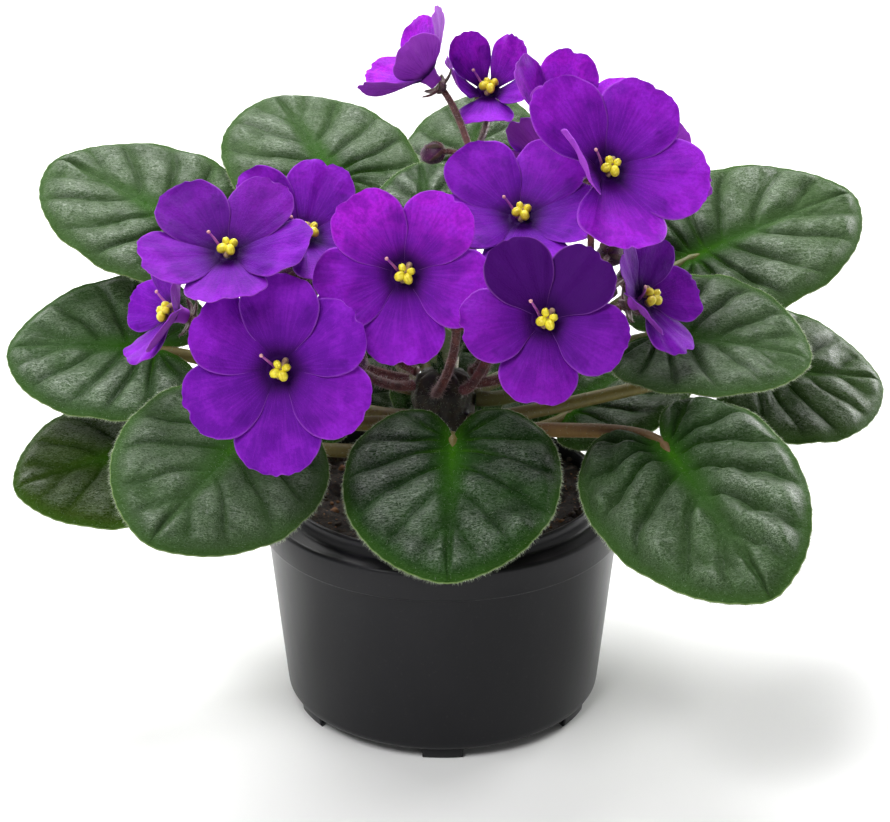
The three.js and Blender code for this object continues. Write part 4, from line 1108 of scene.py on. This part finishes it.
def add_bud(piece, row, fork, seed):
    """A closed flower on its stalk, nodding, with five sepals that clasp it."""
    x, y, z, length = row
    centre = np.array([x, y, z], float)
    bend = fork + 0.6 * (centre - fork)
    bend[2] = max(fork[2], z) + 0.3 * length
    line = bezier([fork, bend, centre], 22)
    points, faces, ways = tube(line[:-1], 0.85, 10)
    piece.add(points, faces, 0)
    piece.add(*tube_hairs(points[:-2], ways[:-2], 260, 0.6, 1.4), 2)
    matrix = rotation_to(unit(line[-1] - line[-3]) * 0.4 + (0, 0, -0.05))
    points, faces, ways = ball((0, 0, 0), (0.4 * length, 0.4 * length, 0.5 * length), 18, 22)
    pleat = 1 + 0.05 * np.sin(5 * np.arctan2(ways[:, 1], ways[:, 0]) + seed) * (1 - ways[:, 2] ** 2)
    points = placed(points * pleat[:, None], centre, matrix)
    piece.add(points, faces, 3)
    piece.add(*tube_hairs(points, ways @ matrix.T, 380, 0.4, 0.9), 2)
    radius, tall = 0.4 * length + 0.35, 0.5 * length + 0.35
    t = np.linspace(0, 1, 10)[:, None]
    rise = -math.pi / 2 + t * 1.7
    for i in range(5):
        turn = math.radians(72 * i) + np.linspace(-1, 1, 7)[None] * 0.42 * (1 - t**1.5)
        top = polar(radius * np.cos(rise), turn, tall * np.sin(rise))
        top[-1] = top[-1, 3]
        piece.put(sheet(top, top * 0.88), centre, matrix, 1)


def add_stem(piece, line, ends, sides, density, low, high):
    """A stem along a line, with so many hairs a millimetre."""
    points, faces, ways = tube(line, np.linspace(*ends, len(line)), sides)
    piece.add(points, faces, 0)
    length = np.linalg.norm(np.diff(line, axis=0), axis=1).sum()
    piece.add(*tube_hairs(points[:-2], ways[:-2], int(length * density), low, high), 2)


def make_stalk(key, row, seed):
    """A flower stalk from the crown to its fork, and from there to its flowers and buds."""
    root, fork, lean, flowers, buds = row
    piece = Piece()
    fork = np.array(fork, float)
    out = direction(root)
    foot = np.array([*CROWN_AT, STALK_HEIGHT]) + out * (CROWN_RADIUS + CLEAR)
    under = fork + (*lean, (foot[2] - fork[2]) * 0.5)
    add_stem(piece, bezier([foot, foot + out * 6, under, fork], 40), (1.6, 1.3), 14, 13, 0.7, 1.8)
    points, faces, _ = ball(fork, (1.9, 1.9, 2.1), 8, 14)
    piece.add(points, faces, 0)
    for flower in flowers:
        at, faces_to = FLOWERS[flower][:2]
        facing = direction(*faces_to)
        back = np.array(at) - facing * (TUBE_DEPTH + CLEAR)
        behind = back - facing * 1.6
        bend = behind - facing * np.linalg.norm(behind - fork) * 0.25
        add_stem(piece, bezier([fork, bend, behind], 30), (1.1, 0.95), 12, 12, 0.6, 1.5)
        add_calyx(piece, back, facing, seed + len(flower))
    for number, bud in enumerate(buds):
        add_bud(piece, bud, fork, seed + number)
    piece.build(f"stalk_{key}_hairy", [STALK, SEPAL, STALK_HAIR, BUD], f"stalk_{key}")


for seed, (key, row) in enumerate(STALKS.items()):
    make_stalk(key, row, seed)

# Soil and pot


def make_soil():
    """Peat with a lumpy top, a hole for the stem, and loose crumbs and bark on it."""
    piece = Piece()
    hole, hole_bottom = SOIL_HOLE
    radii = np.concatenate([[hole], np.linspace(7, 47.2, 52), [SOIL_RADIUS]])
    angles = np.linspace(0, 2 * np.pi, SOIL_SEGMENTS, endpoint=False)
    middle = np.array(CROWN_AT) * np.exp(-((radii - hole) / 8))[:, None]
    x = middle[:, :1] + radii[:, None] * np.cos(angles)
    y = middle[:, 1:] + radii[:, None] * np.sin(angles)
    flat = np.stack([x, y, 0 * x], -1)
    lumps = 1.0 * noise(flat, 7, 1) + 0.8 * noise(flat, 3.2, 2) + 0.5 * noise(flat, 1.5, 3)
    sunk = 1.6 * step(44, SOIL_RADIUS, radii)[:, None]
    z = SOIL_TOP + lumps * step(SOIL_RADIUS, 45, radii)[:, None] - sunk
    top = np.stack([x, y, z], -1)
    rings = [top[0] * (1, 1, 0) + (0, 0, hole_bottom), *top]
    for radius, height in SOIL_WALLS:
        rings.append(polar(radius, angles, height))
    points = np.concatenate([*rings, [(*CROWN_AT, hole_bottom)], [(0, 0, SOIL_BOTTOM)]])
    piece.add(points, ringed(points, SOIL_SEGMENTS), 0)
    for i in range(CRUMBS):
        radius = 46 * math.sqrt(random.uniform(0.05, 1))
        turn = random.uniform(0, 2 * np.pi)
        size = random.uniform(0.5, 1.5) * (0.7 if i % 3 else 1.2)
        radii = (size, size * random.uniform(0.6, 1), size * random.uniform(0.4, 0.8))
        points, faces, _ = ball((0, 0, 0), radii, 5, 7)
        points = points * (1 + 0.35 * noise(points + i * 9, 0.9, i))[:, None]
        height = SOIL_TOP + 0.3 + random.uniform(-0.3, 0.9)
        spot = (radius * math.cos(turn), radius * math.sin(turn), height)
        if math.dist(spot[:2], CROWN_AT) > CROWN_CLEAR:
            kind = 2 if i % 5 == 0 else 1
            piece.put((points, faces), spot, turned("z", math.degrees(turn * 5)), kind)
    piece.build("peat_crumbs", [PEAT, CRUMB, BARK], "soil")


make_soil()

POT_PROFILE = [
    (0, 3), (45.6, 3), (47.2, 3.25), (48.3, 3.9), (48.9, 4.9), (49.1, 6.2), (51.6, 31),
    (54.1, 56.0), (54.25, 56.7), (54.6, 56.95), (55.2, 57.05), (55.5, 57.3), (55.6, 57.8),
    (55.6, 61), (55.6, 64.9), (55.45, 65.5), (55.0, 65.95), (54.4, 66.1), (50.4, 66.2),
    (49.8, 66.35), (49.5, 66.8), (49.5, 68.5), (49.5, 70.0), (49.35, 70.45), (48.9, 70.7),
    (48.4, 70.7), (48.05, 70.5), (47.9, 70.1), (47.9, 64.4), (52.6, 56), (47.4, 5.4), (47.0, 5),
    (0, 5),
]


def cut(piece, cutters):
    """Cuts closed forms out of a piece and applies the result."""
    for cutter in cutters:
        modifier = piece.modifiers.new("cut", "BOOLEAN")
        modifier.operation = "DIFFERENCE"
        modifier.object = cutter
        modifier.solver = "EXACT"
    view = bpy.context.evaluated_depsgraph_get()
    mesh = bpy.data.meshes.new_from_object(piece.evaluated_get(view))
    piece.modifiers.clear()
    piece.data = mesh
    for cutter in cutters:
        bpy.data.objects.remove(cutter)


def make_pot():
    """The moulded body with its drain holes, and its feet and centre pad."""
    piece = Piece()
    piece.add(*lathe(POT_PROFILE, POT_SEGMENTS), 0)
    pot = piece.build("pot_moulded", [POT], "pot")
    cutters = []
    feet = Piece()
    section = np.array(FOOT_SECTION)
    radius = section[:, 0][None]
    half = math.pi / FOOT_COUNT - np.arcsin(FOOT_GAP / 2 / radius)
    for i in range(FOOT_COUNT):
        turn = 360 / FOOT_COUNT * i
        bpy.ops.mesh.primitive_cylinder_add(
            vertices=32, radius=DRAIN_RADIUS * MM, depth=6 * MM,
            location=(DRAIN_CIRCLE * direction(turn) + (0, 0, 4)) * MM,
        )
        cutters.append(bpy.context.object)
        angles = math.radians(turn + 180 / FOOT_COUNT) + np.linspace(-1, 1, 12)[:, None] * half
        grid = polar(radius, angles, section[:, 1][None])
        lid = grid.copy()
        lid[..., 2] = FOOT_LID
        feet.add(*sheet(grid, lid, pinch_last=False), 0)
    cut(pot, cutters)
    feet.add(*lathe(PAD_PROFILE, 48), 0)
    feet.build("pot_feet", [POT], "pot")


make_pot()

# Studio

FLOOR_SIZE = 14
FLOOR_GLOW = (0.5, 1.9, 0.9)                # from and to this distance in metres, and its strength
WORLD_LIGHT = (0.05, 0.3, 1.0, 0.14)        # from and to this rise of the view, and the strengths
LAMPS = [                                   # name, place, size and power
    ("overhead", (-0.15, 0.6, 1.15), 0.8, 26),
    ("back_left", (-0.75, 0.7, 0.25), 0.45, 5),
    ("back_right", (0.75, 0.7, 0.25), 0.5, 10),
    ("front", (-0.45, -0.75, 1.1), 0.6, 13),
]
LAMP_AIM = (0, 0, 0.1)
CAMERA_AT = (0.0007, -0.6307, 0.3537)
CAMERA_PITCH = 67.6
CAMERA_LENS = 90.65


def make_floor():
    """A pale floor that glows far from the plant, so that it runs into the pale surroundings."""
    look = Look("studio floor", 0.6, Emission_Color=(1, 1, 1, 1))
    place = look.node("ShaderNodeNewGeometry").outputs["Position"]
    away = look.node("ShaderNodeVectorMath", {0: place}, operation="LENGTH").outputs["Value"]
    near, far, strength = FLOOR_GLOW
    glow = look.times(look.between(near, far, away), strength)
    look.set(look.shader.inputs["Emission Strength"], glow)
    bpy.ops.mesh.primitive_plane_add(size=FLOOR_SIZE)
    floor = bpy.context.object
    floor.name = "studio_floor"
    floor.data.materials.append(look.finish((0.93, 0.93, 0.93)))


def make_studio():
    scene = bpy.context.scene
    scene.view_settings.view_transform = "Standard"
    world = bpy.data.worlds.new("studio")
    scene.world = world
    world.use_nodes = True
    nodes, links = world.node_tree.nodes, world.node_tree.links
    way = nodes.new("ShaderNodeSeparateXYZ")
    links.new(nodes.new("ShaderNodeTexCoord").outputs["Generated"], way.inputs[0])
    fade = nodes.new("ShaderNodeMapRange")
    for number, value in enumerate(WORLD_LIGHT, 1):
        fade.inputs[number].default_value = value
    links.new(way.outputs["Z"], fade.inputs[0])
    links.new(fade.outputs[0], nodes["Background"].inputs["Strength"])
    nodes["Background"].inputs["Color"].default_value = (1, 1, 1, 1)

    for name, place, size, power in LAMPS:
        lamp = bpy.data.lights.new(name, "AREA")
        lamp.shape = "SQUARE"
        lamp.size = size
        lamp.energy = power
        holder = bpy.data.objects.new(name, lamp)
        holder.visible_camera = False
        scene.collection.objects.link(holder)
        holder.location = place
        x, y, z = unit(np.array(LAMP_AIM) - place)
        holder.rotation_euler = (math.acos(-z), 0, math.atan2(y, x) - math.pi / 2)

    lens = bpy.data.cameras.new("camera")
    lens.lens = CAMERA_LENS
    lens.sensor_width = 36
    camera = bpy.data.objects.new("camera", lens)
    scene.collection.objects.link(camera)
    camera.location = CAMERA_AT
    camera.rotation_euler = (math.radians(CAMERA_PITCH), 0, 0)
    scene.camera = camera


make_floor()
make_studio()
